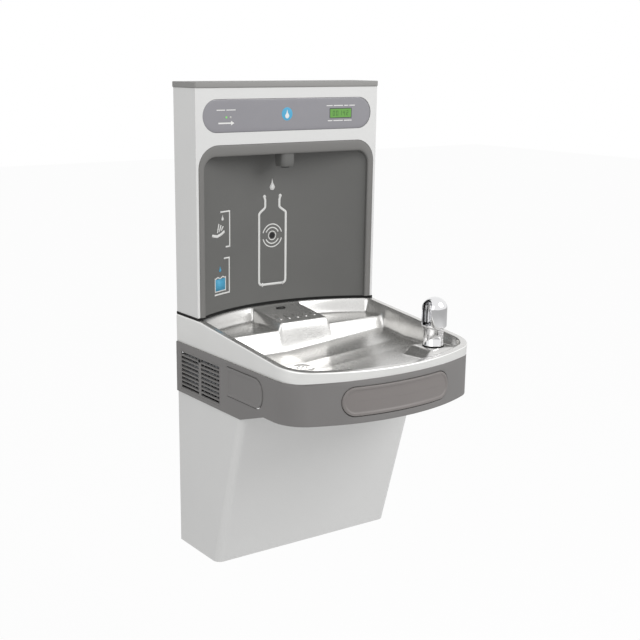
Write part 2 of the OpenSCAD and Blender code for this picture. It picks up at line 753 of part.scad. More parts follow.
waste_wall_z = base_z + waste_wall_h;
waste_stub = 40;
waste_collar = 4;
waste_collar_l = 8;
module waste_tube() {
    top = drain_z - strainer_cup_h + nut_h / 2;
    r = strainer_cup_r - strainer_wall - waste_gap;
    points = [[-drain_x, -drain_y, top], [-drain_x, -drain_y, waste_bend_z],
        [-drain_x, -waste_drop_y, waste_bend_z], [-drain_x, -waste_drop_y, waste_wall_z],
        [-drain_x, 0, waste_wall_z]];
    color("silver") difference() {
        union() {
            tube_path(points, waste_r);
            rod_y(-drain_x, waste_wall_z, -waste_stub - waste_collar_l, -waste_stub, waste_r + waste_collar);
            translate([-drain_x, -drain_y, drain_z - strainer_cup_h - nut_h])
                cylinder(r = strainer_cup_r, h = nut_h, $fn = round_fn);
        }
        translate([-drain_x, -drain_y, waste_bend_z]) cylinder(r = waste_r - strainer_wall, h = band_h * 2, $fn = small_fn);
        rod_y(-drain_x, waste_wall_z, -waste_drop_y, over, waste_r - strainer_wall, small_fn);
        translate([-drain_x, -waste_drop_y, waste_wall_z])
            cylinder(r = waste_r - strainer_wall, h = waste_bend_z - waste_wall_z, $fn = small_fn);
        rod_y(-drain_x, waste_bend_z, -drain_y, -waste_drop_y, waste_r - strainer_wall, small_fn);
    }
}
deck_flange_r = 10;
deck_flange_t = 1.5;
deck_spout_h = 12;
deck_spout_r = 6.8;
deck_bore_r = 3;
deck_rest_z = platform_at(-deck_drain_y) + platform_slope * deck_flange_r;
module deck_drain() {
    color("black") translate([0, -deck_drain_y, deck_rest_z]) difference() {
        union() {
            cylinder(r = deck_flange_r, h = deck_flange_t, $fn = small_fn);
            translate([0, 0, -deck_spout_h]) cylinder(r = deck_spout_r, h = deck_spout_h, $fn = small_fn);
        }
        translate([0, 0, -deck_spout_h - over]) cylinder(r = deck_bore_r, h = deck_spout_h * 2, $fn = small_fn);
    }
}
module deck_drain_tube() {
    start = deck_rest_z - deck_spout_h;
    level = waste_bend_z + waste_r + 2 * hose_r;
    color("lightgray") tube_path([[0, -deck_drain_y, start], [0, -deck_drain_y, level],
        [0, -waste_drop_y - waste_r, level], [-drain_x, -waste_drop_y - waste_r, level],
        [-drain_x, -waste_drop_y - waste_r, waste_bend_z + waste_r]], hose_r);
}

// Bubbler: gasket, stem, hood, orifice, and the nut below the basin
bubbler_gasket_t = 1.5;
stem_h = 38;
stem_z = bubbler_seat_z + bubbler_gasket_t;
stem_r = stem_d / 2;
hood_r = 26;
hood_wall = 3;
hood_z = stem_z + stem_h;
hood_dome = 24;
mouth_r = 14.5;
mouth_back = 6;
mouth_drop = 5;
water_bore_r = 3.5;
shank_l = 30;
module at_bubbler(z) {
    translate([bubbler_x, -bubbler_y, z]) children();
}
module bubbler_gasket() {
    color("black") at_bubbler(bubbler_seat_z) ring(stem_r + gasket_lip, bubbler_gasket_t, shank_r + gap);
}
module bubbler_body() {
    color("silver") at_bubbler(stem_z) difference() {
        union() {
            cylinder(r = stem_r, h = stem_h, $fn = round_fn);
            translate([0, 0, -shank_l]) cylinder(r = shank_r, h = shank_l, $fn = round_fn);
        }
        translate([0, 0, -shank_l - over]) cylinder(r = water_bore_r, h = stem_h + shank_l + 2 * over, $fn = small_fn);
    }
}
dome_steps = 8;
function dome(r, h, up) = [for (i = [0:dome_steps]) [r * cos(90 * i / dome_steps), h + up * sin(90 * i / dome_steps)]];
module bubbler_hood() {
    h = bubbler_h - stem_h - bubbler_gasket_t;
    side = h - hood_dome;
    color("silver") at_bubbler(hood_z) difference() {
        rotate_extrude($fn = round_fn) polygon(concat([[0, 0], [stem_r, 0], [hood_r, hood_wall]], dome(hood_r, side, hood_dome)));
        translate([0, 0, hood_wall]) rotate_extrude($fn = round_fn)
            polygon(concat([[0, 0], [hood_r - hood_wall, 0]], dome(hood_r - hood_wall, side - hood_wall, hood_dome - hood_wall)));
        span([-2 * hood_r, -mouth_r, 2 * hood_wall], [-mouth_back, mouth_r, h - mouth_r - mouth_drop]);
        rod_x(0, h - mouth_r - mouth_drop, -2 * hood_r, -mouth_back, mouth_r);
        translate([0, 0, -over]) cylinder(r = orifice_r + run_clear, h = 2 * hood_wall, $fn = small_fn);
    }
}
orifice_r = 8;
orifice_h = 16;
module bubbler_orifice() {
    color("silver") at_bubbler(hood_z) difference() {
        cylinder(r = orifice_r, h = orifice_h, $fn = small_fn);
        translate([0, 0, -over]) cylinder(r = water_bore_r, h = orifice_h / 2 + over, $fn = small_fn);
        translate([-2 * orifice_r, 0, orifice_h * 2 / 3]) rotate([0, 90, 0])
            cylinder(r = water_bore_r / 2, h = 2 * orifice_r, $fn = small_fn);
    }
}
locknut_h = 7;
locknut_wall = 8;
module bubbler_locknut() {
    color("goldenrod") at_bubbler(bubbler_seat_z - basin_t - waste_gap - locknut_h)
        ring(shank_r + locknut_wall, locknut_h, shank_r + waste_gap / 2);
}

// Bubbler valve on the chassis rail: body, coil and the hose up to the bubbler
valve_w = 40;
valve_d = 34;
valve_rise = 372;
valve_low_z = base_z + valve_rise;
valve_h = 30;
coil_r = 12;
coil_h = 16;
valve_mid_y = rail_y - valve_d / 2;
regulator_r = 4;
regulator_l = 14;
regulator_head_r = 7;
regulator_head_h = 5;
module bubbler_valve() {
    mid_z = valve_low_z + valve_h / 2;
    color("ivory") difference() {
        union() {
            span([bubbler_x - valve_w / 2, rail_y - valve_d, valve_low_z],
                [bubbler_x + valve_w / 2, rail_y, valve_low_z + valve_h]);
            translate([bubbler_x - valve_w / 4, valve_mid_y, valve_low_z - coil_h])
                cylinder(r = coil_r, h = coil_h + over, $fn = small_fn);
        }
        rod_y(bubbler_x + valve_w / 4, mid_z, rail_y - valve_d - over, rail_y - valve_d + regulator_l + gap,
            regulator_r + run_clear);
    }
}
module regulator_screw() {
    mid_z = valve_low_z + valve_h / 2;
    y = rail_y - valve_d;
    color("silver") difference() {
        union() {
            rod_y(bubbler_x + valve_w / 4, mid_z, y - gap, y + regulator_l, regulator_r);
            rod_y(bubbler_x + valve_w / 4, mid_z, y - gap - regulator_head_h, y - gap, regulator_head_r, small_fn);
        }
        span([bubbler_x + valve_w / 4 - regulator_head_r, y - gap - regulator_head_h - over, mid_z - gap],
            [bubbler_x + valve_w / 4 + regulator_head_r, y - gap - regulator_head_h / 2, mid_z + gap]);
    }
}
module bubbler_tube() {
    run_z = valve_low_z + valve_h + hose_r * 3;
    color("lightgray") tube_path([[bubbler_x, valve_mid_y, valve_low_z + valve_h], [bubbler_x, valve_mid_y, run_z],
        [bubbler_x, -bubbler_y, run_z], [bubbler_x, -bubbler_y, stem_z - shank_l]], hose_r);
}

// Filter: head on the chassis tab, and a cartridge whose neck turns in it
head_w = 56;
head_d = 92;
head_rise = 316;
head_low_z = base_z + head_rise;
head_h = 26;
neck_r = 20;
neck_h = 14;
cartridge_y = rail_y - head_d / 2;
cartridge_rise = 62;
cartridge_low_z = base_z + cartridge_rise;
cartridge_dome = 8;
port_r = 8;
port_l = 8;
head_gap = 0.3;
module filter_head() {
    color("white") difference() {
        union() {
            span([-head_w / 2, rail_y - head_d, head_low_z], [head_w / 2, rail_y, head_low_z + head_h]);
            rod_x(cartridge_y, head_low_z + head_h / 2, head_w / 2 - over, head_w / 2 + port_l, port_r, small_fn);
        }
        translate([0, cartridge_y, head_low_z - over]) cylinder(r = neck_r + run_clear, h = neck_h + over, $fn = round_fn);
    }
}
module filter_cartridge() {
    r = cartridge_d / 2;
    color("lightblue") translate([0, cartridge_y, 0]) union() {
        translate([0, 0, cartridge_low_z]) rotate_extrude($fn = round_fn)
            polygon(concat([for (i = [dome_steps:-1:0]) let (p = dome(r, 0, cartridge_dome)[i]) [max(0, p.x), -p.y]],
                [[r, head_low_z - head_gap - cartridge_low_z], [0, head_low_z - head_gap - cartridge_low_z]]));
        translate([0, 0, cartridge_low_z]) cylinder(r = neck_r, h = head_low_z + neck_h - head_gap - cartridge_low_z, $fn = round_fn);
    }
}

// Water inlet: an elbow from the head's port to the wall
inlet_r = 4.76;
inlet_x = 62;
inlet_body_r = 9;
inlet_stub = 30;
inlet_collar = 3;
inlet_collar_l = 6;
module water_inlet() {
    z = head_low_z + head_h / 2;
    color("goldenrod") difference() {
        union() {
            rod_x(cartridge_y, z, head_w / 2 + port_l, inlet_x + inlet_body_r, inlet_body_r, small_fn);
            rod_y(inlet_x, z, cartridge_y, 0, inlet_r);
            rod_y(inlet_x, z, -inlet_stub - inlet_collar_l, -inlet_stub, inlet_r + inlet_collar);
        }
        rod_y(inlet_x, z, cartridge_y, over, inlet_r / 2, small_fn);
    }
}

// Cooling tank with a stub for each line
tank_x = 110;
tank_y = 76;
tank_h = 180;
stub_r = 5;
stub_h = 12;
tank_top_z = pan_top_z + tank_h;
tank_hose_x = 140;
tank_hose_y = 50;
module cooling_tank() {
    color("lightsteelblue") union() {
        translate([-tank_x, -tank_y, pan_top_z]) cylinder(d = tank_d, h = tank_h, $fn = round_fn);
        for (p = [[tank_hose_x, tank_hose_y], [tank_x, tank_y]])
            translate([-p.x, -p.y, tank_top_z - over]) cylinder(r = stub_r, h = stub_h + over, $fn = small_fn);
        rod_x(-tank_y, pan_top_z + tank_h / 2, -tank_x - tank_d / 2 - stub_h, -tank_x, stub_r, small_fn);
    }
}

// Compressor on four grommets
compressor_x = 120;
compressor_y = 80;
foot_w = 130;
foot_d = 118;
foot_t = 3;
grommet_r = 9;
grommet_h = 12;
can_h = 150;
can_dome = 22;
compressor_z = pan_top_z + grommet_h;
discharge_rise = 110;
discharge_z = base_z + discharge_rise;
discharge_y = 165;
module compressor() {
    r = compressor_d / 2;
    can_z = compressor_z + foot_t;
    color("black") union() {
        translate([compressor_x - foot_w / 2, -compressor_y - foot_d / 2, compressor_z]) cube([foot_w, foot_d, foot_t]);
        translate([compressor_x, -compressor_y, can_z]) rotate_extrude($fn = round_fn)
            polygon(concat([[0, -foot_t / 2], [r - can_dome, -foot_t / 2], [r, can_dome]], dome(r, can_h - can_dome, can_dome)));
        translate([compressor_x, -compressor_y, can_z + can_h / 2]) cylinder(r = r + foot_t, h = foot_t * 2, $fn = round_fn);
        rod_y(compressor_x, discharge_z, -compressor_y - r - stub_h, -compressor_y, stub_r, small_fn);
        translate([compressor_x, -compressor_y, can_z + can_h - over]) cylinder(r = stub_r, h = stub_h, $fn = small_fn);
    }
}
module compressor_grommets() {
    color("black") for (x = [-1, 1], y = [-1, 1])
        translate([compressor_x + x * (foot_w / 2 - grommet_r), -compressor_y + y * (foot_d / 2 - grommet_r), pan_top_z])
            cylinder(r = grommet_r, h = grommet_h, $fn = small_fn);
}

// Condenser on the shelf behind the left grille, with its fan
condenser_left = -222;
condenser_right = -182;
condenser_front = -176;
condenser_rear = rail_y - gap;
condenser_h = 94;
fin_count = 13;
fin_t = 1.6;
pass_r = 4;
module condenser() {
    pitch = (condenser_rear - condenser_front - fin_t) / (fin_count - 1);
    color("silver") union() {
        for (i = [0:fin_count - 1])
            span([condenser_left, condenser_front + i * pitch, shelf_top_z],
                [condenser_right, condenser_front + i * pitch + fin_t, shelf_top_z + condenser_h]);
        for (z = [1 / 5, 2 / 5, 3 / 5, 4 / 5], x = [1 / 4, 3 / 4])
            rod_y(mix(condenser_left, condenser_right, x), shelf_top_z + condenser_h * z,
                condenser_front + fin_t / 2, condenser_rear - fin_t / 2, pass_r, small_fn);
        span([condenser_left, condenser_front, shelf_top_z], [condenser_right, condenser_rear, shelf_top_z + fin_t]);
    }
}
fan_x = condenser_right;
fan_y = (condenser_front + condenser_rear) / 2;
fan_z = shelf_top_z + condenser_h / 2;
shroud_l = 20;
fan_rim = 5;
module fan_shroud() {
    half = fan_d / 2 + fan_rim;
    color("black") difference() {
        span([fan_x, fan_y - half, shelf_top_z], [fan_x + shroud_l, fan_y + half, fan_z + half]);
        rod_x(fan_y, fan_z, fan_x - over, fan_x + shroud_l + over, fan_d / 2);
    }
}
motor_gap = 10;
motor_x = fan_x + shroud_l + motor_gap;
motor_l = 34;
motor_r = 21;
shaft_r = 3;
shaft_l = 16;
motor_foot_w = 24;
module fan_motor() {
    color("dimgray") difference() {
        union() {
            rod_x(fan_y, fan_z, motor_x, motor_x + motor_l, motor_r);
            span([motor_x + motor_l / 4, fan_y - motor_foot_w / 2, shelf_top_z], [motor_x + motor_l * 3 / 4, fan_y + motor_foot_w / 2, fan_z]);
        }
        rod_x(fan_y, fan_z, motor_x - over, motor_x + shaft_l + gap, shaft_r + run_clear);
    }
}
blade_count = 5;
blade_t = 1.5;
blade_twist = 30;
hub_r = 11;
hub_l = 12;
blade_gap = 3;
blade_share = 0.8;
module fan_blade() {
    color("ivory") translate([fan_x + shroud_l / 2 - hub_l / 2, fan_y, fan_z]) union() {
        rotate([0, 90, 0]) cylinder(r = hub_r, h = hub_l, $fn = round_fn);
        rotate([0, 90, 0]) cylinder(r = shaft_r, h = motor_x + shaft_l - (fan_x + shroud_l / 2 - hub_l / 2), $fn = round_fn);
        for (i = [0:blade_count - 1]) rotate([i * 360 / blade_count, 0, 0])
            translate([hub_l / 2, 0, hub_r / 2]) rotate([0, 0, blade_twist])
                translate([-blade_t / 2, -blade_share * hub_r, 0])
                    cube([blade_t, 2 * blade_share * hub_r, fan_d / 2 - blade_gap - hub_r / 2]);
    }
}

// Refrigerant lines and the filter drier, each ending on the face of a stub
drier_r = 10;
drier_h = 80;
drier_x = 200;
drier_y = 60;
line_r = 4;
drier_drop = 36;
drier_z = shelf_z - drier_drop - drier_h;
module filter_drier() {
    color("peru") translate([-drier_x, -drier_y, drier_z]) union() {
        cylinder(r = drier_r, h = drier_h, $fn = small_fn);
        translate([0, 0, -stub_h]) cylinder(r = line_r, h = drier_h + 2 * stub_h, $fn = small_fn);
    }
}
module refrigerant_lines() {
    r = compressor_d / 2;
    suction_z = tank_top_z + stub_h + 3 * line_r;
    bridge_y = 124;
    can_top = compressor_z + foot_t + can_h - over + stub_h;
    tank_side_x = tank_x + tank_d / 2 + stub_h;
    color("peru") {
        tube_path([[compressor_x, -compressor_y - r - stub_h, discharge_z], [compressor_x, -discharge_y, discharge_z],
            [-drier_x, -discharge_y, discharge_z], [-drier_x, -discharge_y, shelf_top_z]], line_r);
        tube_path([[-tank_x, -tank_y, tank_top_z + stub_h], [-tank_x, -tank_y, suction_z], [-tank_x, -bridge_y, suction_z],
            [compressor_x, -bridge_y, suction_z], [compressor_x, -compressor_y, suction_z], [compressor_x, -compressor_y, can_top]], line_r);
        tube_path([[-drier_x, -drier_y, shelf_top_z], [-drier_x, -drier_y, drier_z + drier_h + stub_h]], line_r);
        tube_path([[-drier_x, -drier_y, drier_z - stub_h], [-drier_x, -drier_y, pan_top_z + tank_h / 2],
            [-drier_x, -tank_y, pan_top_z + tank_h / 2], [-tank_side_x, -tank_y, pan_top_z + tank_h / 2]], line_r);
    }
}

// Thermostat on the rail with its turning knob, and the junction box on the right upright
thermostat_x = 84;
thermostat_w = 34;
thermostat_h = 44;
thermostat_d = 24;
thermostat_z = base_z + valve_rise;
knob_r = 10;
knob_h = 10;
knob_shaft_r = 3;
knob_shaft_l = 12;
module thermostat() {
    color("ivory") difference() {
        span([thermostat_x - thermostat_w / 2, rail_y - thermostat_d, thermostat_z - thermostat_h / 2],
            [thermostat_x + thermostat_w / 2, rail_y, thermostat_z + thermostat_h / 2]);
        rod_y(thermostat_x, thermostat_z, rail_y - thermostat_d - over, rail_y - thermostat_d + knob_shaft_l + gap,
            knob_shaft_r + run_clear);
    }
}
module thermostat_knob() {
    y = rail_y - thermostat_d;
    color("black") difference() {
        union() {
            rod_y(thermostat_x, thermostat_z, y - gap - knob_h, y - gap, knob_r, small_fn);
            rod_y(thermostat_x, thermostat_z, y - gap - knob_h / 2, y + knob_shaft_l, knob_shaft_r);
        }
        span([thermostat_x - gap, y - gap - knob_h - over, thermostat_z + knob_r / 3],
            [thermostat_x + gap, y - gap - knob_h + over, thermostat_z + 2 * knob_r]);
    }
}
box_w = 62;
box_h = 66;
box_d = 42;
box_rise = 232;
box_z = base_z + box_rise;
conduit_r = 11.1;
conduit_l = 14;
module junction_box() {
    right = shroud_inner_x - frame_t - gap;
    color("silver") difference() {
        span([right - box_w, rail_y - box_d, box_z], [right, rail_y, box_z + box_h]);
        translate([right - box_w / 2, rail_y - box_d / 2, box_z - over]) cylinder(r = conduit_r, h = conduit_l + over, $fn = round_fn);
    }
}

// Tower gasket: a black ring under the shell's sides and the liner's arc
gasket_lip = 1;
gasket_w = 8;
gasket_rear_w = 6;
liner_t = 2.5;
module behind_arc(grow, h, z) {
    translate([0, arc_y, z]) cylinder(r = arc_r + grow, h = h, $fn = round_fn * 2);
}
module tower_gasket() {
    half = tower_w / 2 + gasket_lip;
    color("black") difference() {
        span([-half, -tower_d - gasket_lip, rim_z], [half, 0, tower_z]);
        behind_arc(-gasket_lip, gasket_t + 2 * over, rim_z - over);
        difference() {
            span([-half + gasket_w, -tower_d - over, rim_z - over], [half - gasket_w, -gasket_rear_w, tower_z + over]);
            behind_arc(gasket_w - gasket_lip, gasket_t + 4 * over, rim_z - 2 * over);
            for (s = [-1, 1]) scale_x(s) span([half - 2 * gasket_w, -tower_d - over, rim_z - 2 * over], [half, -tower_d + gasket_w, tower_z + 2 * over]);
        }
    }
}

// Tower: back plate with its wall holes, sheet steel shell and cap
plate_t = 2;
plate_flange = 12;
tower_bolt_x = 380;
tower_bolt_low = 60;
tower_bolt_high = 36;
tower_bolt_d = 8;
module tower_back_plate() {
    half = tower_w / 2 - sheet_t - gap / 2;
    high = cap_z - sheet_t - gap / 2;
    color("gainsboro") difference() {
        union() {
            span([-half, -plate_t, tower_z], [half, 0, high]);
            for (s = [-1, 1]) scale_x(s) span([half - plate_t, -plate_flange, tower_z], [half, 0, high]);
            span([-half, -plate_flange, high - plate_t], [half, 0, high]);
        }
        for (s = [-1, 1], z = [tower_z + tower_bolt_low, cap_z - tower_bolt_high])
            rod_y(s * tower_bolt_x / 2, z, -plate_t - over, over, tower_bolt_d / 2);
        for (s = [-1, 1]) translate([s * cap_screw_x, -cap_screw_y, high - plate_t - over])
            cylinder(r = screw_d / 2 + run_clear, h = plate_t + 2 * over, $fn = small_fn);
    }
}
module alcove_block(inset, top_inset, y0, y1) {
    w = alcove_w / 2 - inset;
    r = alcove_corner_r - (inset + top_inset) / 2;
    high = alcove_top_z - top_inset;
    translate([0, y1, 0]) rotate([90, 0, 0]) linear_extrude(y1 - y0) union() {
        translate([-w, tower_z - over]) square([2 * w, high - r - tower_z + over]);
        translate([-w + r, tower_z]) square([2 * (w - r), high - tower_z]);
        for (s = [-1, 1]) translate([s * (w - r), high - r]) circle(r = r, $fn = round_fn);
    }
}
fit_gap = 0.3;
cap_screw_x = 170;
cap_screw_y = 7;
module tower_shell() {
    half = tower_w / 2;
    color("whitesmoke") difference() {
        span([-half, -tower_d, tower_z], [half, 0, cap_z]);
        span([-half + sheet_t, -tower_d + sheet_t, tower_z - over], [half - sheet_t, over, cap_z - sheet_t]);
        alcove_block(-fit_gap, -fit_gap, -tower_d - over, -tower_d + sheet_t + over);
        translate([0, 0, pill_z]) pill_block(pill_w + 2 * fit_gap, pill_h + 2 * fit_gap, -tower_d - over, -tower_d + sheet_t + over);
        for (s = [-1, 1]) translate([s * cap_screw_x, -cap_screw_y, cap_z - sheet_t - over])
            cylinder(r = screw_d / 2 + run_clear, h = sheet_t + 2 * over, $fn = small_fn);
    }
}
cap_lip = 2;
cap_wall = 4;
module top_cap() {
    half = tower_w / 2 + cap_lip;
    color("gray") difference() {
        span([-half, -tower_d - cap_lip, cap_z], [half, 0, top_z]);
        span([-half + cap_wall, -tower_d - cap_lip + cap_wall, cap_z - over], [half - cap_wall, -cap_wall / 2, top_z - cap_wall / 2]);
    }
}
module cap_screws() {
    color("silver") for (s = [-1, 1]) translate([s * cap_screw_x, -cap_screw_y, cap_z]) union() {
        cylinder(r = screw_head_d / 2, h = screw_head_h, $fn = small_fn);
        translate([0, 0, -sheet_t - plate_t - gap - screw_head_h]) cylinder(r = screw_d / 2, h = sheet_t + plate_t + gap + 2 * screw_head_h, $fn = small_fn);
    }
}

// Alcove liner: a moulded shell with a curved back, a ceiling and a front flange
flange_side = 14;
flange_top = 23;
flange_t = 2.5;
liner_lip = 3;
nozzle_w = 34;
nozzle_d = 28;
nozzle_y = 70;
nozzle_drop = 51;
nozzle_low_z = alcove_top_z - nozzle_drop;
nozzle_neck_r = 9;
sensor_rise = 147;
sensor_z = tower_z + sensor_rise;
sensor_r = 6.5;
module alcove_liner() {
    back = -plate_t - over;
    color("dimgray") difference() {
        union() {
            intersection() {
                alcove_block(flange_side - liner_t, flange_top - liner_t, -tower_d + flange_t / 2, back);
                behind_arc(liner_t, unit_h, tower_z);
            }
            intersection() {
                alcove_block(0, 0, -tower_d, -tower_d + flange_t);
                span([-tower_w, -tower_d, tower_z], [tower_w, 0, top_z]);
            }
            intersection() {
                alcove_block(-liner_lip, -liner_lip, -tower_d + sheet_t, -tower_d + sheet_t + flange_t);
                span([-tower_w, -tower_d, tower_z], [tower_w, 0, top_z]);
            }
        }
        intersection() {
            alcove_block(flange_side, flange_top, -tower_d - over, over);
            behind_arc(0, unit_h, tower_z - over);
        }
        rod_y(0, sensor_z, -tower_d, over, sensor_r);
        translate([0, -nozzle_y, alcove_top_z - flange_top - liner_t * 2]) cylinder(r = nozzle_neck_r + gap, h = flange_top, $fn = round_fn);
    }
}

// Display: a window with a hidden lip and bosses, the counter, the lamps and the board
lens_recess = 1;
lens_t = 3;
lens_lip = 4;
lens_back_y = -tower_d + lens_recess + lens_t;
board_setback = 14;
board_y = -tower_d + board_setback;
board_t = 1.6;
board_w = 380;
board_h = 54;
boss_r = 4;
module display_lens() {
    color("gray") union() {
        translate([0, 0, pill_z]) pill_block(pill_w, pill_h, -tower_d + lens_recess, lens_back_y);
        translate([0, 0, pill_z]) pill_block(pill_w + 2 * lens_lip, pill_h + 2 * lens_lip, -tower_d + sheet_t, lens_back_y);
        for (x = [-1, 1], z = [-1, 1])
            rod_y(x * (board_w / 2 - 2 * boss_r), pill_z + z * (board_h / 2 - 2 * boss_r), lens_back_y - over, board_y, boss_r, small_fn);
    }
}
counter_x = 132;
counter_w = 58;
counter_h = 20;
module counter_display() {
    color("yellowgreen") span([counter_x - counter_w / 2, lens_back_y, pill_z - counter_h / 2],
        [counter_x + counter_w / 2, board_y, pill_z + counter_h / 2]);
}
lamp_r = 2.5;
lamp_x = 152;
lamp_pitch = 10;
module status_lamps() {
    color("green") for (i = [-1, 1]) rod_y(-lamp_x + i * lamp_pitch / 2, pill_z - lamp_r, lens_back_y, board_y, lamp_r, small_fn);
}
module control_board() {
    color("darkgreen") span([-board_w / 2, board_y, pill_z - board_h / 2], [board_w / 2, board_y + board_t, pill_z + board_h / 2]);
}
supply_w = 90;
supply_h = 52;
supply_d = 40;
supply_x = 110;
module power_supply() {
    color("silver") span([supply_x - supply_w / 2, -plate_t - supply_d, pill_z - supply_h / 2],
        [supply_x + supply_w / 2, -plate_t, pill_z + supply_h / 2]);
}
window_t = 2;
sensor_back = 3;
module sensor_window() {
    front = arc(0) - gap;
    color("black") rod_y(0, sensor_z, front, arc(0) + liner_t + sensor_back / 2, sensor_r - run_clear);
}
module sensor_module() {
    front = arc(0) + liner_t + sensor_back / 2;
    color("darkgreen") span([-sensor_r * 2, front, sensor_z - sensor_r * 1.5], [sensor_r * 2, -plate_t, sensor_z + sensor_r * 1.5]);
}

// Filler: nozzle block in the alcove's ceiling, its aerator, and the valve above with its hose
aerator_r = 9;
aerator_h = 8;
aerator_out = 2;
aerator_wall = 2;
block_w = 32;
block_h = 28;
block_setback = 6;
block_front = -tower_d + block_setback;
nozzle_neck_h = 20;
ceiling_z = alcove_top_z - flange_top;
valve_z = ceiling_z + nozzle_neck_h;
module filler_nozzle() {
    color("gray") difference() {
        union() {
            span([-nozzle_w / 2, -nozzle_y - nozzle_d / 2, nozzle_low_z], [nozzle_w / 2, -nozzle_y + nozzle_d / 2, ceiling_z]);
            translate([0, -nozzle_y, ceiling_z - over]) cylinder(r = nozzle_neck_r, h = nozzle_neck_h + over, $fn = round_fn);
        }
        translate([0, -nozzle_y, nozzle_low_z - over]) cylinder(r = aerator_r + run_clear, h = aerator_h + over, $fn = round_fn);
        translate([0, -nozzle_y, nozzle_low_z]) cylinder(r = water_bore_r, h = band_h * 2, $fn = small_fn);
    }
}
module filler_aerator() {
    color("silver") translate([0, -nozzle_y, nozzle_low_z - aerator_out]) difference() {
        cylinder(r = aerator_r, h = aerator_h + aerator_out, $fn = round_fn);
        translate([0, 0, -over]) cylinder(r = aerator_r - aerator_wall, h = aerator_h / 2, $fn = small_fn);
    }
}
module filler_valve() {
    hose_z = valve_z + block_h / 2;
    color("ivory") union() {
        span([-block_w / 2, block_front, valve_z], [block_w / 2, -plate_t, valve_z + block_h]);
        translate([0, -plate_t - coil_r * 2, valve_z + block_h - over]) cylinder(r = coil_r, h = coil_h * 2, $fn = small_fn);
        tube_path([[0, -filler_hose_y, hose_z], [-filler_hose_x, -filler_hose_y, hose_z],
            [-filler_hose_x, -filler_hose_y, tank_top_z + 4 * stub_h],
            [-tank_hose_x, -filler_hose_y, tank_top_z + 4 * stub_h],
            [-tank_hose_x, -tank_hose_y, tank_top_z + 4 * stub_h],
            [-tank_hose_x, -tank_hose_y, tank_top_z + stub_h]], hose_r);
    }
}

wall_hanger();
chassis_frame();
cabinet_shroud();
apron();
grille(-1);  // left_grille
grille(1);  // right_grille
grille_screws();
front_push_bar();
side_push_bar(-1);  // left_push_bar
side_push_bar(1);  // right_push_bar
bar_guides();
bar_switches();
front_bar_springs();
side_bar_springs(-1);  // left_bar_springs
side_bar_springs(1);  // right_bar_springs
basin();
drain_strainer();
strainer_nut();
waste_tube();
deck_drain();
deck_drain_tube();
bubbler_gasket();
bubbler_body();
bubbler_hood();
bubbler_orifice();
bubbler_locknut();
bubbler_tube();
bubbler_valve();
regulator_screw();
filter_head();
filter_cartridge();
water_inlet();
cooling_tank();
compressor();
compressor_grommets();
condenser();
fan_shroud();
fan_motor();
fan_blade();
filter_drier();
refrigerant_lines();
thermostat();
thermostat_knob();
junction_box();
tower_gasket();
tower_back_plate();
tower_shell();
top_cap();
cap_screws();
alcove_liner();
display_lens();
counter_display();
status_lamps();
control_board();
power_supply();
sensor_window();
sensor_module();
filler_nozzle();
filler_aerator();
filler_valve();
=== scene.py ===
"""Looks of a wall-hung bottle filling station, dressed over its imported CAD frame.

Sizes are in millimetres in the classes and become metres as each mesh is made. The row's frame
has +X to the right along the wall, +Y into the wall and +Z up, with its origin at the centre of
the wall hanger's bolt holes.
"""

import json
import logging
import math
from dataclasses import astuple, dataclass, field
from enum import Enum
from typing import Any, Callable, Sequence

import bmesh
import bpy
import numpy as np
from mathutils import Matrix, Vector

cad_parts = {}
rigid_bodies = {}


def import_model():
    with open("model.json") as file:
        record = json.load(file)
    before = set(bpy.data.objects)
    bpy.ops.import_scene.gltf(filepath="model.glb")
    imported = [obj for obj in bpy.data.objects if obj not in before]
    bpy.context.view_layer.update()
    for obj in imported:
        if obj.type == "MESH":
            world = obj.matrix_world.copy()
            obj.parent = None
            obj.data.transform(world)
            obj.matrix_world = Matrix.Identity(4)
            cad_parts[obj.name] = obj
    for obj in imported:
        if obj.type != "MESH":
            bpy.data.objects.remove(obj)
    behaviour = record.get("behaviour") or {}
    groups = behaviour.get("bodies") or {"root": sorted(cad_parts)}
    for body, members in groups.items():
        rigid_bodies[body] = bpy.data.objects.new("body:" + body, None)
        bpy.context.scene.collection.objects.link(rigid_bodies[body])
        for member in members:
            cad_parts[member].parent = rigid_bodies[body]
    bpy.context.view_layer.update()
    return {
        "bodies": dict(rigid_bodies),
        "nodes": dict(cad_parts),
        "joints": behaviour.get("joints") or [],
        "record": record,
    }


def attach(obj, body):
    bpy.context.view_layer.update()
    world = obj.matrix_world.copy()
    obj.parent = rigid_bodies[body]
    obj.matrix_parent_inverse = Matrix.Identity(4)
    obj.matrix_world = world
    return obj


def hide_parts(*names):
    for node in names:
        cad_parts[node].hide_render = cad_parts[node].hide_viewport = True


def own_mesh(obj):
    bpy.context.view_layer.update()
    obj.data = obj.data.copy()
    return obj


MM = 0.001
LOG = logging.getLogger("station")

Point2 = tuple[float, float]
Point3 = tuple[float, float, float]
Loop = list[Point3]
Shell = tuple[Loop, list[list[int]]]

# Turn, in degrees, past which an edge of a softened piece stays crisp.
SOFT_TURN = 50.0


# Finishes


def linear(colour: str) -> tuple[float, float, float, float]:
    """Turns an sRGB hex value into a linear colour.

    Args:
        colour: Six hex digits after a hash.

    Returns:
        Red, green, blue and alpha as Blender takes them.
    """
    parts = [int(colour[i : i + 2], 16) / 255 for i in (1, 3, 5)]
    red, green, blue = (c / 12.92 if c <= 0.04045 else ((c + 0.055) / 1.055) ** 2.4 for c in parts)
    return red, green, blue, 1.0


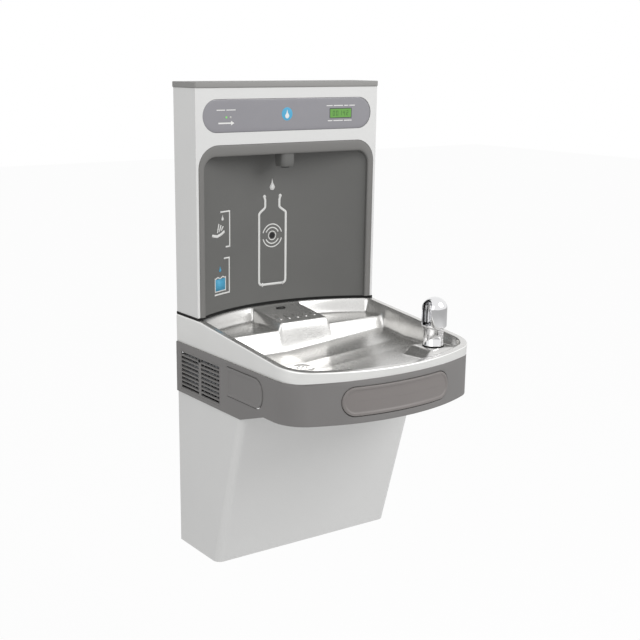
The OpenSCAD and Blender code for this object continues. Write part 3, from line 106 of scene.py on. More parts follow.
def add(
    tree: bpy.types.NodeTree, kind: str, inputs: dict[Any, Any] | None = None, **settings: Any
) -> bpy.types.Node:
    """Adds a node with its settings and links.

    Args:
        tree: The node tree that gets the node.
        kind: The node's type name.
        inputs: Socket name or number to a value, or to the output socket that feeds it.
        **settings: The node's own properties.

    Returns:
        The new node.
    """
    node = tree.nodes.new(kind)
    for name, value in settings.items():
        setattr(node, name, value)
    for key, value in (inputs or {}).items():
        if isinstance(value, bpy.types.NodeSocket):
            tree.links.new(value, node.inputs[key])
        else:
            node.inputs[key].default_value = value
    return node


class Pattern(Enum):
    """How a surface was made, which sets the pattern on it."""

    PEEL = "orange peel of a baked powder coat"
    GRAIN = "fine grain of a spark-eroded mould"
    BRUSHED = "belt brushing along X"
    SPANGLE = "zinc crystals"
    DRAWN = "marks of a drawing die"
    POLISHED = "buffed"


# How far a pattern is drawn out along X, Y and Z: brush marks run along X, die marks along Y.
STRETCH = {Pattern.BRUSHED: (0.04, 1.0, 1.0), Pattern.DRAWN: (1.0, 0.05, 1.0)}
# Scale of the slow change of tone that every surface has, in waves to the metre.
TONE_SCALE = 9.0
# Pattern values at which a surface is darkest, lightest and roughest.
DARKEST, LIGHTEST, ROUGHEST = 0.1, 0.42, 0.45


@dataclass(frozen=True)
class Finish:
    """One surface finish and the node material that shows it.

    Args:
        name: The material's name.
        colour: Main colour, sRGB hex.
        pattern: How the surface was made.
        pitch: Size of the pattern, in millimetres.
        rough: Mean roughness.
        metal: Metallic share.
        ior: Index of refraction; a metal keeps the default.
        bump: Height of the pattern, in millimetres.
        mottle: Share by which the pattern darkens the colour.
        coat: Weight of a clear coat.
        glow: Strength of the light that the surface gives off.
    """

    name: str
    colour: str
    pattern: Pattern = Pattern.GRAIN
    pitch: float = 1.0
    rough: float = 0.5
    metal: float = 0.0
    ior: float = 1.5
    bump: float = 0.01
    mottle: float = 0.06
    coat: float = 0.0
    glow: float = 0.0

    def relief(self, tree: bpy.types.NodeTree, where: bpy.types.NodeSocket) -> bpy.types.NodeSocket:
        """Adds the surface's own pattern.

        Args:
            tree: The material's tree.
            where: Object coordinates.

        Returns:
            The pattern's value, from 0 to 1.
        """
        stretch = STRETCH.get(self.pattern, (1.0, 1.0, 1.0))
        mapped = add(tree, "ShaderNodeMapping", {"Vector": where, "Scale": stretch}).outputs["Vector"]
        sizes = {"Vector": mapped, "Scale": 1 / (self.pitch * MM)}
        if self.pattern is Pattern.SPANGLE:
            cells = add(tree, "ShaderNodeTexVoronoi", sizes, feature="F1").outputs["Color"]
            return add(tree, "ShaderNodeSeparateColor", {"Color": cells}).outputs["Red"]
        return add(tree, "ShaderNodeTexNoise", {**sizes, "Detail": 3.0, "Roughness": 0.55}).outputs["Fac"]

    def tone(self, share: float) -> tuple[float, ...]:
        """The main colour times a share, kept under white."""
        return tuple(min(1.0, c * share) for c in linear(self.colour)[:3]) + (1.0,)

    def material(self) -> bpy.types.Material:
        """Builds the material once and returns it."""
        found = bpy.data.materials.get(self.name)
        if found:
            return found
        material = bpy.data.materials.new(self.name)
        material.use_nodes = True
        tree = material.node_tree
        tree.nodes.clear()
        where = add(tree, "ShaderNodeTexCoord").outputs["Object"]
        fine = self.relief(tree, where)
        slow = {"Vector": where, "Scale": TONE_SCALE, "Detail": 2.0, "Roughness": 0.5}
        broad = add(tree, "ShaderNodeTexNoise", slow).outputs["Fac"]
        both = add(tree, "ShaderNodeMath", {0: fine, 1: broad}, operation="MULTIPLY").outputs[0]
        ramp = add(tree, "ShaderNodeValToRGB", {"Fac": both})
        stops = ((DARKEST, 1 - self.mottle), (LIGHTEST, 1 + self.mottle * 0.6))
        for stop, (position, share) in zip(ramp.color_ramp.elements, stops):
            stop.position, stop.color = position, self.tone(share)
        gloss = add(tree, "ShaderNodeMapRange", {
            "Value": both, "From Min": DARKEST, "From Max": ROUGHEST,
            "To Min": max(0.02, self.rough * 0.88), "To Max": min(1.0, self.rough * 1.12),
        }).outputs["Result"]
        shader = add(tree, "ShaderNodeBsdfPrincipled", {
            "Base Color": ramp.outputs["Color"], "Roughness": gloss, "Metallic": self.metal,
            "Coat Weight": self.coat, "Coat Roughness": 0.08,
        })
        if not self.metal:
            shader.inputs["IOR"].default_value = self.ior
        if self.glow:
            shader.inputs["Emission Color"].default_value = linear(self.colour)
            shader.inputs["Emission Strength"].default_value = self.glow
        if self.bump:
            height = {"Height": fine, "Strength": 1.0, "Distance": self.bump * MM}
            tree.links.new(add(tree, "ShaderNodeBump", height).outputs["Normal"], shader.inputs["Normal"])
        add(tree, "ShaderNodeOutputMaterial", {"Surface": shader.outputs["BSDF"]})
        return material


# Polyester powder coat on steel: a soft sheen over a faint orange peel, drawn at 2.5 mm so it shows.
POWDER = Finish("powder_coated_steel", "#DDDDDC", Pattern.PEEL, 2.5, 0.42, bump=0.012, mottle=0.015)
# Moulded ABS, spark-eroded grain: matt with a soft highlight; the grain is drawn at 0.9 mm.
APRON_ABS = Finish("moulded_grey_abs", "#7C7A79", Pattern.GRAIN, 0.9, 0.55, bump=0.02, mottle=0.05)
BAR_ABS = Finish("moulded_bar_abs", "#817C7A", Pattern.GRAIN, 0.9, 0.48, bump=0.015, mottle=0.04)
LINER_ABS = Finish("moulded_liner_abs", "#666664", Pattern.GRAIN, 0.8, 0.5, bump=0.012, mottle=0.04)
# The flange is a lighter copy of the liner's plastic: painted light on its lit front, against the shaded
# recess.
LIT_FLANGE_ABS = Finish("lit_flange_abs", "#767573", Pattern.GRAIN, 0.8, 0.5, bump=0.012, mottle=0.04)
CAP_ABS = Finish("moulded_cap_abs", "#8E8D8B", Pattern.GRAIN, 0.8, 0.5, bump=0.012, mottle=0.04)
# Deep-drawn 304 stainless: bright metal with fine brush marks that smear what it mirrors.
STAINLESS = Finish(
    "pressed_stainless", "#D8D7D5", Pattern.BRUSHED, 0.5, 0.27, metal=0.94, bump=0.003, mottle=0.07
)
# Chromed brass: a mirror with a trace of haze.
CHROME = Finish("polished_chrome", "#E9E9EA", Pattern.POLISHED, 6.0, 0.07, metal=1.0, bump=0.0, mottle=0.02)
# The same sheet at its outer band, as a lighter, satin copy: painted light that stands in for the light the
# band catches.
LIT_BAND = Finish(
    "lit_stainless_band", "#F2F2F0", Pattern.BRUSHED, 0.6, 0.38, metal=0.55, bump=0.002, mottle=0.03
)
# Inside of the drain: a dark copy of the steel that paints the shade down in the strainer's well.
PAINTED_DRAIN_SHADE = Finish(
    "drain_painted_shade", "#2B2B2A", Pattern.DRAWN, 1.0, 0.5, metal=0.6, bump=0.004, mottle=0.2
)
# Chemically blackened screws: dark with a dull metal gleam.
BLACKED = Finish("blackened_steel", "#2A2A2B", Pattern.BRUSHED, 0.8, 0.42, metal=0.8, bump=0.003, mottle=0.15)
# Zinc-plated steel: pale and faintly blue, with a satin shine.
ZINC = Finish("zinc_plated_steel", "#B7BABC", Pattern.BRUSHED, 0.8, 0.38, metal=1.0, bump=0.003, mottle=0.1)
# Hot-dip galvanised sheet: crystals 6 mm across that differ in tone.
GALVANISED = Finish(
    "galvanised_sheet", "#A9ACAE", Pattern.SPANGLE, 6.0, 0.42, metal=0.9, bump=0.0, mottle=0.25
)
# Moulded EPDM rubber: dull black that swallows light.
RUBBER = Finish("moulded_epdm", "#0D0D0C", Pattern.GRAIN, 1.2, 0.75, ior=1.35, bump=0.02, mottle=0.2)
# Moulded nylon and polypropylene: a low, even sheen.
BLACK_NYLON = Finish("moulded_black_nylon", "#1E1E1F", Pattern.GRAIN, 1.0, 0.5, bump=0.01, mottle=0.15)
IVORY_NYLON = Finish("moulded_ivory_nylon", "#D9D3C2", Pattern.GRAIN, 1.0, 0.45, bump=0.01, mottle=0.05)
WHITE_PP = Finish("moulded_white_polypropylene", "#E2E5EA", Pattern.GRAIN, 1.0, 0.4, bump=0.008, mottle=0.03)
# Polyethylene tubing: milky and a little see-through in the real thing, kept opaque here.
TUBING = Finish("extruded_polyethylene", "#D5DADF", Pattern.DRAWN, 1.5, 0.35, bump=0.004, mottle=0.05)
# Foamed insulation jacket: soft, pitted and without shine.
JACKET = Finish("foamed_insulation", "#A3ACB4", Pattern.GRAIN, 4.0, 0.85, bump=0.2, mottle=0.15)
# Machined brass: yellow metal with fine tool marks.
BRASS = Finish("machined_brass", "#C9A45C", Pattern.DRAWN, 0.8, 0.28, metal=1.0, bump=0.004, mottle=0.1)
# Stove enamel on the compressor: deep black with a wet look.
ENAMEL = Finish("black_stove_enamel", "#151516", Pattern.PEEL, 3.0, 0.3, bump=0.02, mottle=0.15)
# Rolled aluminium fins: light metal with rolling marks.
FINSTOCK = Finish(
    "aluminium_fin_stock", "#C3C5C7", Pattern.BRUSHED, 0.7, 0.35, metal=1.0, bump=0.003, mottle=0.1
)
# Dipped paint on the motor: thick, grey and slightly uneven.
MOTOR_PAINT = Finish("dipped_motor_paint", "#4D4F52", Pattern.PEEL, 2.0, 0.45, bump=0.02, mottle=0.12)
# Drawn copper pipe: warm metal with marks along the die.
COPPER = Finish("drawn_copper", "#B8734A", Pattern.DRAWN, 1.2, 0.3, metal=1.0, bump=0.004, mottle=0.2)
# Solder mask on a circuit board: glassy dark green.
BOARD = Finish("solder_masked_board", "#174A2A", Pattern.GRAIN, 2.0, 0.35, bump=0.01, mottle=0.2)
# Back-painted polycarbonate window: a smooth gloss over flat grey.
WINDOW = Finish(
    "back_painted_polycarbonate", "#8E8D92", Pattern.POLISHED, 30.0, 0.22, ior=1.58, bump=0.0, mottle=0.02,
    coat=0.35,
)
# Lit liquid-crystal panel: green, with its own light.
PANEL_GREEN = Finish(
    "lit_display_film", "#5E9A3C", Pattern.POLISHED, 5.0, 0.3, bump=0.0, mottle=0.05, coat=0.5, glow=0.12
)
# Liquid-crystal segments: flat and dark against the film.
DIGIT = Finish("display_segments", "#1F3A1C", Pattern.POLISHED, 5.0, 0.4, bump=0.0)
# Screen-printed inks: flat and slightly matt.
WHITE_INK = Finish("white_screen_ink", "#E6E6E4", Pattern.GRAIN, 0.6, 0.55, bump=0.004, mottle=0.03)
BLUE_INK = Finish("blue_screen_ink", "#4FA8CF", Pattern.GRAIN, 0.6, 0.55, bump=0.004, mottle=0.04)
DARK_INK = Finish("dark_screen_ink", "#3A3A3A", Pattern.GRAIN, 0.6, 0.55, bump=0.004, mottle=0.04)
# Smoked acrylic over the sensor: near black with a clean gloss.
SMOKED = Finish("smoked_acrylic", "#0F0F12", Pattern.POLISHED, 10.0, 0.08, ior=1.49, bump=0.0, coat=0.5)
# Moulded lamp lenses: glossy, the lit one with its own glow.
LAMP = Finish("lit_lamp_lens", "#6FBF5A", Pattern.POLISHED, 5.0, 0.2, bump=0.0, coat=0.5, glow=0.5)
LAMP_OFF = Finish("unlit_lamp_lens", "#C9C9C4", Pattern.POLISHED, 5.0, 0.2, bump=0.0, coat=0.5)

CAD_FINISH: dict[str, Finish] = {
    "wall_hanger": GALVANISED, "chassis_frame": GALVANISED, "cabinet_shroud": POWDER,
    "apron": APRON_ABS, "left_grille": APRON_ABS, "right_grille": APRON_ABS, "grille_screws": BLACKED,
    "front_push_bar": BAR_ABS, "left_push_bar": BAR_ABS, "right_push_bar": BAR_ABS,
    "bar_guides": GALVANISED, "bar_switches": BLACK_NYLON, "front_bar_springs": ZINC,
    "left_bar_springs": ZINC, "right_bar_springs": ZINC, "basin": STAINLESS,
    "drain_strainer": STAINLESS, "strainer_nut": CHROME, "waste_tube": CHROME,
    "deck_drain": RUBBER, "deck_drain_tube": TUBING, "bubbler_gasket": RUBBER,
    "bubbler_body": CHROME, "bubbler_hood": CHROME, "bubbler_orifice": CHROME,
    "bubbler_locknut": BRASS, "bubbler_tube": TUBING, "bubbler_valve": IVORY_NYLON,
    "regulator_screw": ZINC, "filter_head": WHITE_PP, "filter_cartridge": WHITE_PP,
    "water_inlet": BRASS, "cooling_tank": JACKET, "compressor": ENAMEL,
    "compressor_grommets": RUBBER, "condenser": FINSTOCK, "fan_shroud": BLACK_NYLON,
    "fan_motor": MOTOR_PAINT, "fan_blade": IVORY_NYLON, "filter_drier": COPPER,
    "refrigerant_lines": COPPER, "thermostat": IVORY_NYLON, "thermostat_knob": BLACK_NYLON,
    "junction_box": ZINC, "tower_gasket": RUBBER, "tower_back_plate": GALVANISED,
    "tower_shell": POWDER, "top_cap": CAP_ABS, "cap_screws": ZINC, "alcove_liner": LINER_ABS,
    "display_lens": WINDOW, "counter_display": PANEL_GREEN, "status_lamps": LAMP,
    "control_board": BOARD, "power_supply": ZINC, "sensor_window": SMOKED,
    "sensor_module": BOARD, "filler_nozzle": LINER_ABS, "filler_aerator": BLACK_NYLON,
    "filler_valve": IVORY_NYLON,
}


# Mesh tools


def ease(t: Any) -> Any:
    """Eased step from 0 to 1 of a number or an array."""
    c = np.clip(t, 0.0, 1.0)
    return c * c * (3 - 2 * c)


def mix(a: Any, b: Any, t: Any) -> Any:
    """Value between a and b at share t."""
    return a + (b - a) * t


def piece(
    name: str, points: Sequence[Point3] | np.ndarray, faces: Sequence[Sequence[int]], finish: Finish,
    sharp: float = 35.0,
) -> bpy.types.Object:
    """Makes a mesh object from millimetre points.

    Args:
        name: The piece's name.
        points: Points in millimetres, in the row's frame.
        faces: Point numbers of each face.
        finish: What it is made of.
        sharp: Edges that turn by more than this many degrees stay crisp.

    Returns:
        The object, linked to the scene at the origin.
    """
    mesh = bpy.data.meshes.new(name)
    mesh.from_pydata([tuple(float(c) * MM for c in p) for p in points], [], [list(f) for f in faces])
    shell = bpy.data.objects.new(name, mesh)
    bpy.context.scene.collection.objects.link(shell)
    mend(shell, sharp)
    mesh.materials.append(finish.material())
    return shell


def mend(shell: bpy.types.Object, sharp: float = 35.0) -> None:
    """Merges doubles, points the faces outwards and sets smooth shading.

    Args:
        shell: The piece.
        sharp: Edges that turn by more than this many degrees stay crisp.
    """
    box = bmesh.new()
    box.from_mesh(shell.data)
    bmesh.ops.remove_doubles(box, verts=box.verts, dist=1e-6)
    bmesh.ops.recalc_face_normals(box, faces=box.faces)
    box.to_mesh(shell.data)
    box.free()
    shell.data.polygons.foreach_set("use_smooth", [True] * len(shell.data.polygons))
    shell.data.set_sharp_from_angle(angle=math.radians(sharp))


def bake(shell: bpy.types.Object) -> bpy.types.Object:
    """Turns an object's modifiers into its plain mesh.

    Args:
        shell: The object.

    Returns:
        The same object.
    """
    graph = bpy.context.evaluated_depsgraph_get()
    mesh = bpy.data.meshes.new_from_object(shell.evaluated_get(graph))
    shell.modifiers.clear()
    shell.data = mesh
    mesh.name = shell.name
    return shell


def join(name: str, parts: Sequence[bpy.types.Object]) -> bpy.types.Object:
    """Joins pieces into one that keeps their materials.

    Args:
        name: The joined piece's name.
        parts: The pieces, whose own objects go.

    Returns:
        The joined piece.
    """
    first = parts[0]
    slots = {m.name: i for i, m in enumerate(first.data.materials)}
    box = bmesh.new()
    for part in parts:
        shift = []
        for m in part.data.materials:
            if m.name not in slots:
                slots[m.name] = len(first.data.materials)
                first.data.materials.append(m)
            shift.append(slots[m.name])
        mesh = part.data.copy()
        mesh.polygons.foreach_set("material_index", [shift[p.material_index] for p in mesh.polygons])
        box.from_mesh(mesh)
        bpy.data.meshes.remove(mesh)
    box.to_mesh(first.data)
    box.free()
    for part in parts[1:]:
        bpy.data.objects.remove(part)
    first.name = name
    first.data.name = name
    return first


def carve(shell: bpy.types.Object, tools: Sequence[bpy.types.Object]) -> bpy.types.Object:
    """Cuts a closed shell with closed tools.

    Args:
        shell: The piece that is cut.
        tools: The cutting shells, which are removed afterwards.

    Returns:
        The same piece with a plain mesh.
    """
    for tool in tools:
        cut = shell.modifiers.new("cut", "BOOLEAN")
        cut.operation, cut.solver, cut.object = "DIFFERENCE", "EXACT", tool
        bake(shell)
        bpy.data.objects.remove(tool)
    return shell


def soften(shell: bpy.types.Object, radius: float, steps: int = 2, sharp: float = 35.0) -> bpy.types.Object:
    """Rounds the crisp edges of a shell.

    Args:
        shell: The piece.
        radius: Edge radius in millimetres.
        steps: Faces across each rounded edge.
        sharp: Least turn, in degrees, of an edge that is rounded.

    Returns:
        The same piece with a plain mesh.
    """
    round_over = shell.modifiers.new("edges", "BEVEL")
    round_over.width, round_over.segments = radius * MM, steps
    round_over.limit_method, round_over.angle_limit = "ANGLE", math.radians(sharp)
    round_over.harden_normals = False
    bake(shell)
    shell.data.polygons.foreach_set("use_smooth", [True] * len(shell.data.polygons))
    shell.data.set_sharp_from_angle(angle=math.radians(SOFT_TURN))
    return shell


def skin(loops: Sequence[Loop], start: bool = True, end: bool = True) -> Shell:
    """Joins closed loops of equal length into a tube.

    Args:
        loops: The loops in order.
        start: Whether the first loop is closed by a face.
        end: Whether the last loop is closed by a face.

    Returns:
        Points and faces.
    """
    count = len(loops[0])
    points = [p for loop in loops for p in loop]
    faces = [
        [k * count + i, k * count + (i + 1) % count, (k + 1) * count + (i + 1) % count, (k + 1) * count + i]
        for k in range(len(loops) - 1)
        for i in range(count)
    ]
    if start:
        faces.append(list(range(count - 1, -1, -1)))
    if end:
        faces.append([(len(loops) - 1) * count + i for i in range(count)])
    return points, faces


def turned(profile: Sequence[Point2], centre: Point3, axis: str = "z", steps: int = 96) -> Shell:
    """Turns a closed profile of radius and height about an axis.

    Args:
        profile: Radius and height pairs along the axis; ends at radius 0 are closed.
        centre: The axis's foot.
        axis: Row axis that the heights run along, with a minus sign to run backwards.
        steps: Points round the axis.

    Returns:
        Points and faces.
    """
    side = -1 if axis.startswith("-") else 1
    loops = []
    for radius, height in profile:
        loop = []
        for i in range(steps):
            a = 2 * math.pi * i / steps
            u, v = max(radius, 0.01) * math.cos(a), max(radius, 0.01) * math.sin(a)
            along = side * height
            offset = {"x": (along, u, v), "y": (u, along, v), "z": (u, v, along)}[axis[-1]]
            loop.append(tuple(c + o for c, o in zip(centre, offset)))
        loops.append(loop)
    closed = math.dist(profile[0], profile[-1]) < 1e-6
    return skin(loops[:-1] + [loops[0]] if closed else loops, not closed, not closed)


def block(low: Point3, high: Point3) -> Shell:
    """Box between two corners, for cutting tools and bevelled blocks.

    Args:
        low: Lowest corner.
        high: Highest corner.

    Returns:
        Points and faces.
    """
    (x0, y0, z0), (x1, y1, z1) = low, high
    ring = [(x0, y0), (x1, y0), (x1, y1), (x0, y1)]
    return skin([[(x, y, z0) for x, y in ring], [(x, y, z1) for x, y in ring]])


def stadium(width: float, height: float, inset: float = 0.0, steps: int = 40) -> list[Point2]:
    """Pill outline about the origin, drawn in by an inset.

    Args:
        width: Full width.
        height: Full height.
        inset: How far the outline is drawn in.
        steps: Points round each end; the straights get as many.

    Returns:
        Points anticlockwise.
    """
    r, s = height / 2 - inset, (width - height) / 2
    outline = []
    for side in (1, -1):
        outline += [
            (side * (s + r * math.cos(a)), side * r * math.sin(a))
            for a in np.linspace(-math.pi / 2, math.pi / 2, steps)
        ]
        outline += [(side * x, side * r) for x in np.linspace(s, -s, steps)[1:-1]]
    return outline


# Geometry node rules


class Rule:
    """A Geometry Nodes tree with named sizes, run once and kept as a plain mesh."""

    def __init__(self, name: str, sizes: dict[str, float]) -> None:
        """Makes the tree and its named inputs.

        Args:
            name: Name of the tree and of the piece.
            sizes: Input name to its value, in millimetres, or a count.
        """
        self.name, self.sizes = name, sizes
        self.tree = bpy.data.node_groups.new(name, "GeometryNodeTree")
        faces = self.tree.interface
        faces.new_socket("Geometry", in_out="OUTPUT", socket_type="NodeSocketGeometry")
        kinds = {True: "NodeSocketInt", False: "NodeSocketFloat"}
        self.sockets = {
            key: faces.new_socket(key, in_out="INPUT", socket_type=kinds[key.endswith("count")])
            for key in sizes
        }
        self.source = self.tree.nodes.new("NodeGroupInput")

    def size(self, name: str) -> bpy.types.NodeSocket:
        """The output socket that carries a named size."""
        return self.source.outputs[name]

    def add(self, kind: str, inputs: dict[Any, Any] | None = None, **settings: Any) -> bpy.types.Node:
        """Adds a node to this tree."""
        return add(self.tree, kind, inputs, **settings)

    def maths(self, operation: str, *values: Any) -> bpy.types.NodeSocket:
        """Result of a Math node on numbers or sockets."""
        return self.add("ShaderNodeMath", dict(enumerate(values)), operation=operation).outputs[0]

    def vector(self, x: Any = 0.0, y: Any = 0.0, z: Any = 0.0) -> bpy.types.NodeSocket:
        """A vector of numbers or sockets."""
        return self.add("ShaderNodeCombineXYZ", {"X": x, "Y": y, "Z": z}).outputs[0]

    def joined(self, parts: Sequence[bpy.types.NodeSocket]) -> bpy.types.NodeSocket:
        """Several geometries as one.

        Args:
            parts: The geometries.

        Returns:
            The joined geometry.
        """
        both = self.add("GeometryNodeJoinGeometry")
        for part in parts:
            self.tree.links.new(part, both.inputs[0])
        return both.outputs[0]

    def moved(self, item: bpy.types.NodeSocket, **placing: Any) -> bpy.types.NodeSocket:
        """An item placed by the Transform node's own inputs: Translation, Rotation and Scale."""
        return self.add("GeometryNodeTransform", {"Geometry": item, **placing}).outputs[0]

    def row(
        self, item: bpy.types.NodeSocket, count: Any, start: Any, step: Any, turn: Any = (0.0, 0.0, 0.0)
    ) -> bpy.types.NodeSocket:
        """Instances of an item along a line.

        Args:
            item: The repeated geometry.
            count: How many.
            start: Place of the first.
            step: Offset to the next.
            turn: Rotation of each, in radians.

        Returns:
            The instances.
        """
        line = self.add("GeometryNodeMeshLine", {"Count": count, "Start Location": start, "Offset": step})
        spread = {"Points": line.outputs[0], "Instance": item, "Rotation": turn}
        return self.add("GeometryNodeInstanceOnPoints", spread).outputs[0]

    def run(self, result: bpy.types.NodeSocket, finish: Finish, sharp: float = 35.0) -> bpy.types.Object:
        """Ends the tree, runs it and keeps its mesh.

        Args:
            result: The geometry to keep.
            finish: What it is made of.
            sharp: Edges that turn by more than this many degrees stay crisp.

        Returns:
            The piece.
        """
        real = self.add("GeometryNodeRealizeInstances", {0: result}).outputs[0]
        dressed = self.add("GeometryNodeSetMaterial", {"Geometry": real, "Material": finish.material()})
        self.add("NodeGroupOutput", {0: dressed.outputs[0]})
        carrier = bpy.data.objects.new(self.name, bpy.data.meshes.new(self.name))
        bpy.context.scene.collection.objects.link(carrier)
        grow = carrier.modifiers.new("rule", "NODES")
        grow.node_group = self.tree
        for key, value in self.sizes.items():
            whole = key.endswith("count")
            grow[self.sockets[key].identifier] = int(value) if whole else float(value) * MM
        bake(carrier)
        carrier.data.materials.clear()
        carrier.data.materials.append(finish.material())
        mend(carrier, sharp)
        return carrier


# Shared plan shapes


@dataclass(frozen=True)
class DShape:
    """Plan of a D-shaped front, in millimetres.

    Args:
        half: Half the width.
        depth: Distance from the wall to the front.
        big: Radius of the front.
        small: Radius of the two corners.
    """

    half: float
    depth: float
    big: float
    small: float

    def grown(self, by: float) -> "DShape":
        """The same plan, offset outwards."""
        return DShape(self.half + by, self.depth + by, self.big + by, self.small + by)

    @property
    def side_y(self) -> float:
        """Where the straight sides end."""
        spread = math.sqrt((self.big - self.small) ** 2 - (self.half - self.small) ** 2)
        return self.big - self.depth - spread

    @property
    def turn_x(self) -> float:
        """Where the front's arc meets the corners."""
        return (self.half - self.small) * self.big / (self.big - self.small)

    def front(self, x: float) -> float:
        """Y of the front.

        Args:
            x: Distance from the middle.

        Returns:
            Y, which is negative in front of the wall.
        """
        if abs(x) <= self.turn_x:
            return self.big - self.depth - math.sqrt(self.big**2 - x * x)
        inner = max(0.0, self.small**2 - (abs(x) - self.half + self.small) ** 2)
        return self.side_y - math.sqrt(inner)

    def outline(self, side: int = 24, corner: int = 24, front: int = 64) -> list[Point2]:
        """Points from the wall's left end round the front to the right end.

        Args:
            side: Points along each straight side.
            corner: Points round each corner.
            front: Steps across the front.

        Returns:
            Points in plan.
        """
        swing = math.acos((self.half - self.small) / (self.big - self.small))
        right = [(self.half, self.side_y * i / side) for i in range(side)]
        right += [
            (self.half - self.small + self.small * math.cos(swing * i / corner),
             self.side_y - self.small * math.sin(swing * i / corner))
            for i in range(corner)
        ]
        middle = [(x, self.front(x)) for x in np.linspace(-self.turn_x, self.turn_x, front + 1)]
        return [(-x, y) for x, y in right] + middle + right[::-1]


@dataclass(frozen=True)
class Levels:
    """Heights of the main levels above the origin, in millimetres."""

    base: float = -390.0
    apron: float = -40.0
    bowl_under: float = -13.0
    band: float = 70.0
    rim: float = 130.0
    tower: float = 135.0
    alcove_top: float = 487.0
    pill: float = 545.0
    cap: float = 600.0
    top: float = 612.0
    bar: float = 29.0


@dataclass(frozen=True)
class AlcoveArc:
    """The alcove's curved back in plan, in millimetres."""

    radius: float = (224.0**2 + 68.0**2) / (2 * 68.0)
    front: float = -88.0
    bow: float = 68.0

    def y(self, x: Any) -> Any:
        """Depth of the curve at x."""
        return self.front + self.bow - self.radius + np.sqrt(self.radius**2 - np.square(x))


LEVELS = Levels()
ARC = AlcoveArc()


# Basin


@dataclass
class Basin:
    """Pressed stainless basin: rim, bottle deck with its ribbed platform, ridge and bowl."""

    outer: DShape = DShape(231.75, 479.0, 520.0, 72.0)
    skirt: DShape = DShape(231.5, 472.0, 540.0, 56.0)
    lip: float = 13.0
    lip_roll: float = 3.0
    rim_flat: float = 4.0
    band_front: float = 19.0
    deck: float = 100.0
    platform_half: float = 60.0
    platform_rise: float = 15.0
    platform_slope: float = 0.12
    ridge_y: float = 143.0
    wall_run: float = 12.0
    slope_run: float = 20.0
    drain: Point3 = (-84.0, -258.0, 46.0)
    drain_seat: float = 29.0
    drain_hole: float = 19.0
    bubbler: Point3 = (172.0, -368.0, 82.0)
    bubbler_seat: float = 27.0
    bubbler_rise: float = 26.0
    shank: float = 13.5
    deck_drain_y: float = -56.0
    sheet: float = 1.6
    # Falls of the bowl's floor towards its drain, from the left, right, back and front.
    falls: tuple[float, float, float, float] = (0.2, 0.081, 0.143, 0.05)
    rib_y: float = -112.0
    slot: Point2 = (23.0, 11.0)
    # Radius and upper end of the strainer's well, whose inside faces get painted shade.
    well_r: float = 17.0
    well_top: float = 0.6
    # Half the turn of the sine that crowds the columns at the sides.
    crowd: float = 1.25
    columns: int = 190
    rows: int = 190

    def platform(self, y: Any) -> Any:
        """Height of the bottle platform at y."""
        return self.deck + self.platform_rise + self.platform_slope * np.maximum(0.0, self.ridge_y + y)

    def rim(self, y: Any) -> Any:
        """Height of the rim.

        Args:
            y: Place along Y.

        Returns:
            Its height there.
        """
        start = -ARC.front + self.rim_flat
        share = np.clip((-y - start) / (self.outer.depth - start), 0.0, 1.0)
        return mix(LEVELS.rim, LEVELS.band + self.band_front, share)

    def height(self, x: float, y: np.ndarray) -> np.ndarray:
        """Height of the pressing.

        Args:
            x: Distance from the middle.
            y: Places along Y.

        Returns:
            The height at each place.
        """
        left, right, rear, fore = self.falls
        inner = self.outer.grown(-self.lip)
        dx = max(0.0, abs(x - self.drain[0]) - self.drain_seat)
        dy = np.maximum(0.0, np.abs(y - self.drain[1]) - self.drain_seat)
        fall_x = left if x < self.drain[0] else right
        floor = self.drain[2] + dx * fall_x + dy * np.where(y > self.drain[1], rear, fore)
        bx = max(0.0, abs(x - self.bubbler[0]) - self.bubbler_seat)
        by = np.maximum(0.0, np.abs(y - self.bubbler[1]) - self.bubbler_seat)
        bowl = mix(floor, np.maximum(floor, self.bubbler[2]), 1 - ease(np.hypot(bx, by) / self.bubbler_rise))
        deck = mix(self.platform(y), self.deck, ease((abs(x) - self.platform_half) / (self.wall_run / 2)))
        inside = mix(deck, bowl, ease((-self.ridge_y - y) / self.slope_run))
        near = min(abs(x), inner.half)
        side = ease((inner.half - abs(x)) / self.wall_run)
        front = ease((y - inner.front(near)) / self.wall_run)
        back = ease((float(ARC.y(near)) - self.lip / 2 - y) / self.wall_run)
        return mix(self.rim(y), inside, side * front * back)

    def grid(self) -> tuple[np.ndarray, int, int]:
        """Points of the pressing's top, by column and row, inside the rolled lip."""
        inset = self.outer.grown(-self.lip_roll)
        xs = np.sin(np.linspace(-1, 1, self.columns) * self.crowd) / math.sin(self.crowd) * inset.half
        points = np.zeros((self.columns, self.rows, 3))
        for i, x in enumerate(xs):
            ys = np.linspace(-self.lip_roll, inset.front(float(x)), self.rows)
            points[i, :, 0], points[i, :, 1], points[i, :, 2] = x, ys, self.height(float(x), ys)
        return points, self.columns, self.rows

    def rolled_edge(self, edge: np.ndarray, outward: np.ndarray) -> list[Loop]:
        """Loops from the top's edge over the lip and down the band.

        Args:
            edge: The top's edge points.
            outward: Unit plan direction away from the basin at each.

        Returns:
            Loops, the first just outside the edge.
        """
        loops = []
        for angle in np.radians([22.5, 45, 67.5, 90]):
            ring = edge.copy()
            ring[:, :2] += outward * self.lip_roll * math.sin(angle)
            ring[:, 2] -= self.lip_roll * (1 - math.cos(angle))
            loops.append([tuple(p) for p in ring])
        rim = np.array(loops[-1])
        foot = []
        for x, y, _ in rim:
            sx = x * self.skirt.half / self.outer.half
            if y > -1:
                foot.append((sx, y))
            elif abs(x) > self.outer.half - 0.5:
                foot.append((sx, y * self.skirt.side_y / self.outer.side_y))
            else:
                foot.append((sx, self.skirt.front(sx)))
        for share in (0.06, 0.5, 0.97, 1.0):
            tuck = 0.0 if share < 1 else 0.6
            loops.append([
                (mix(p[0], f[0], share) * (1 - tuck / self.outer.half), min(0.0, mix(p[1], f[1], share)),
                 mix(p[2], LEVELS.band, share))
                for p, f in zip(rim, foot)
            ])
        return loops

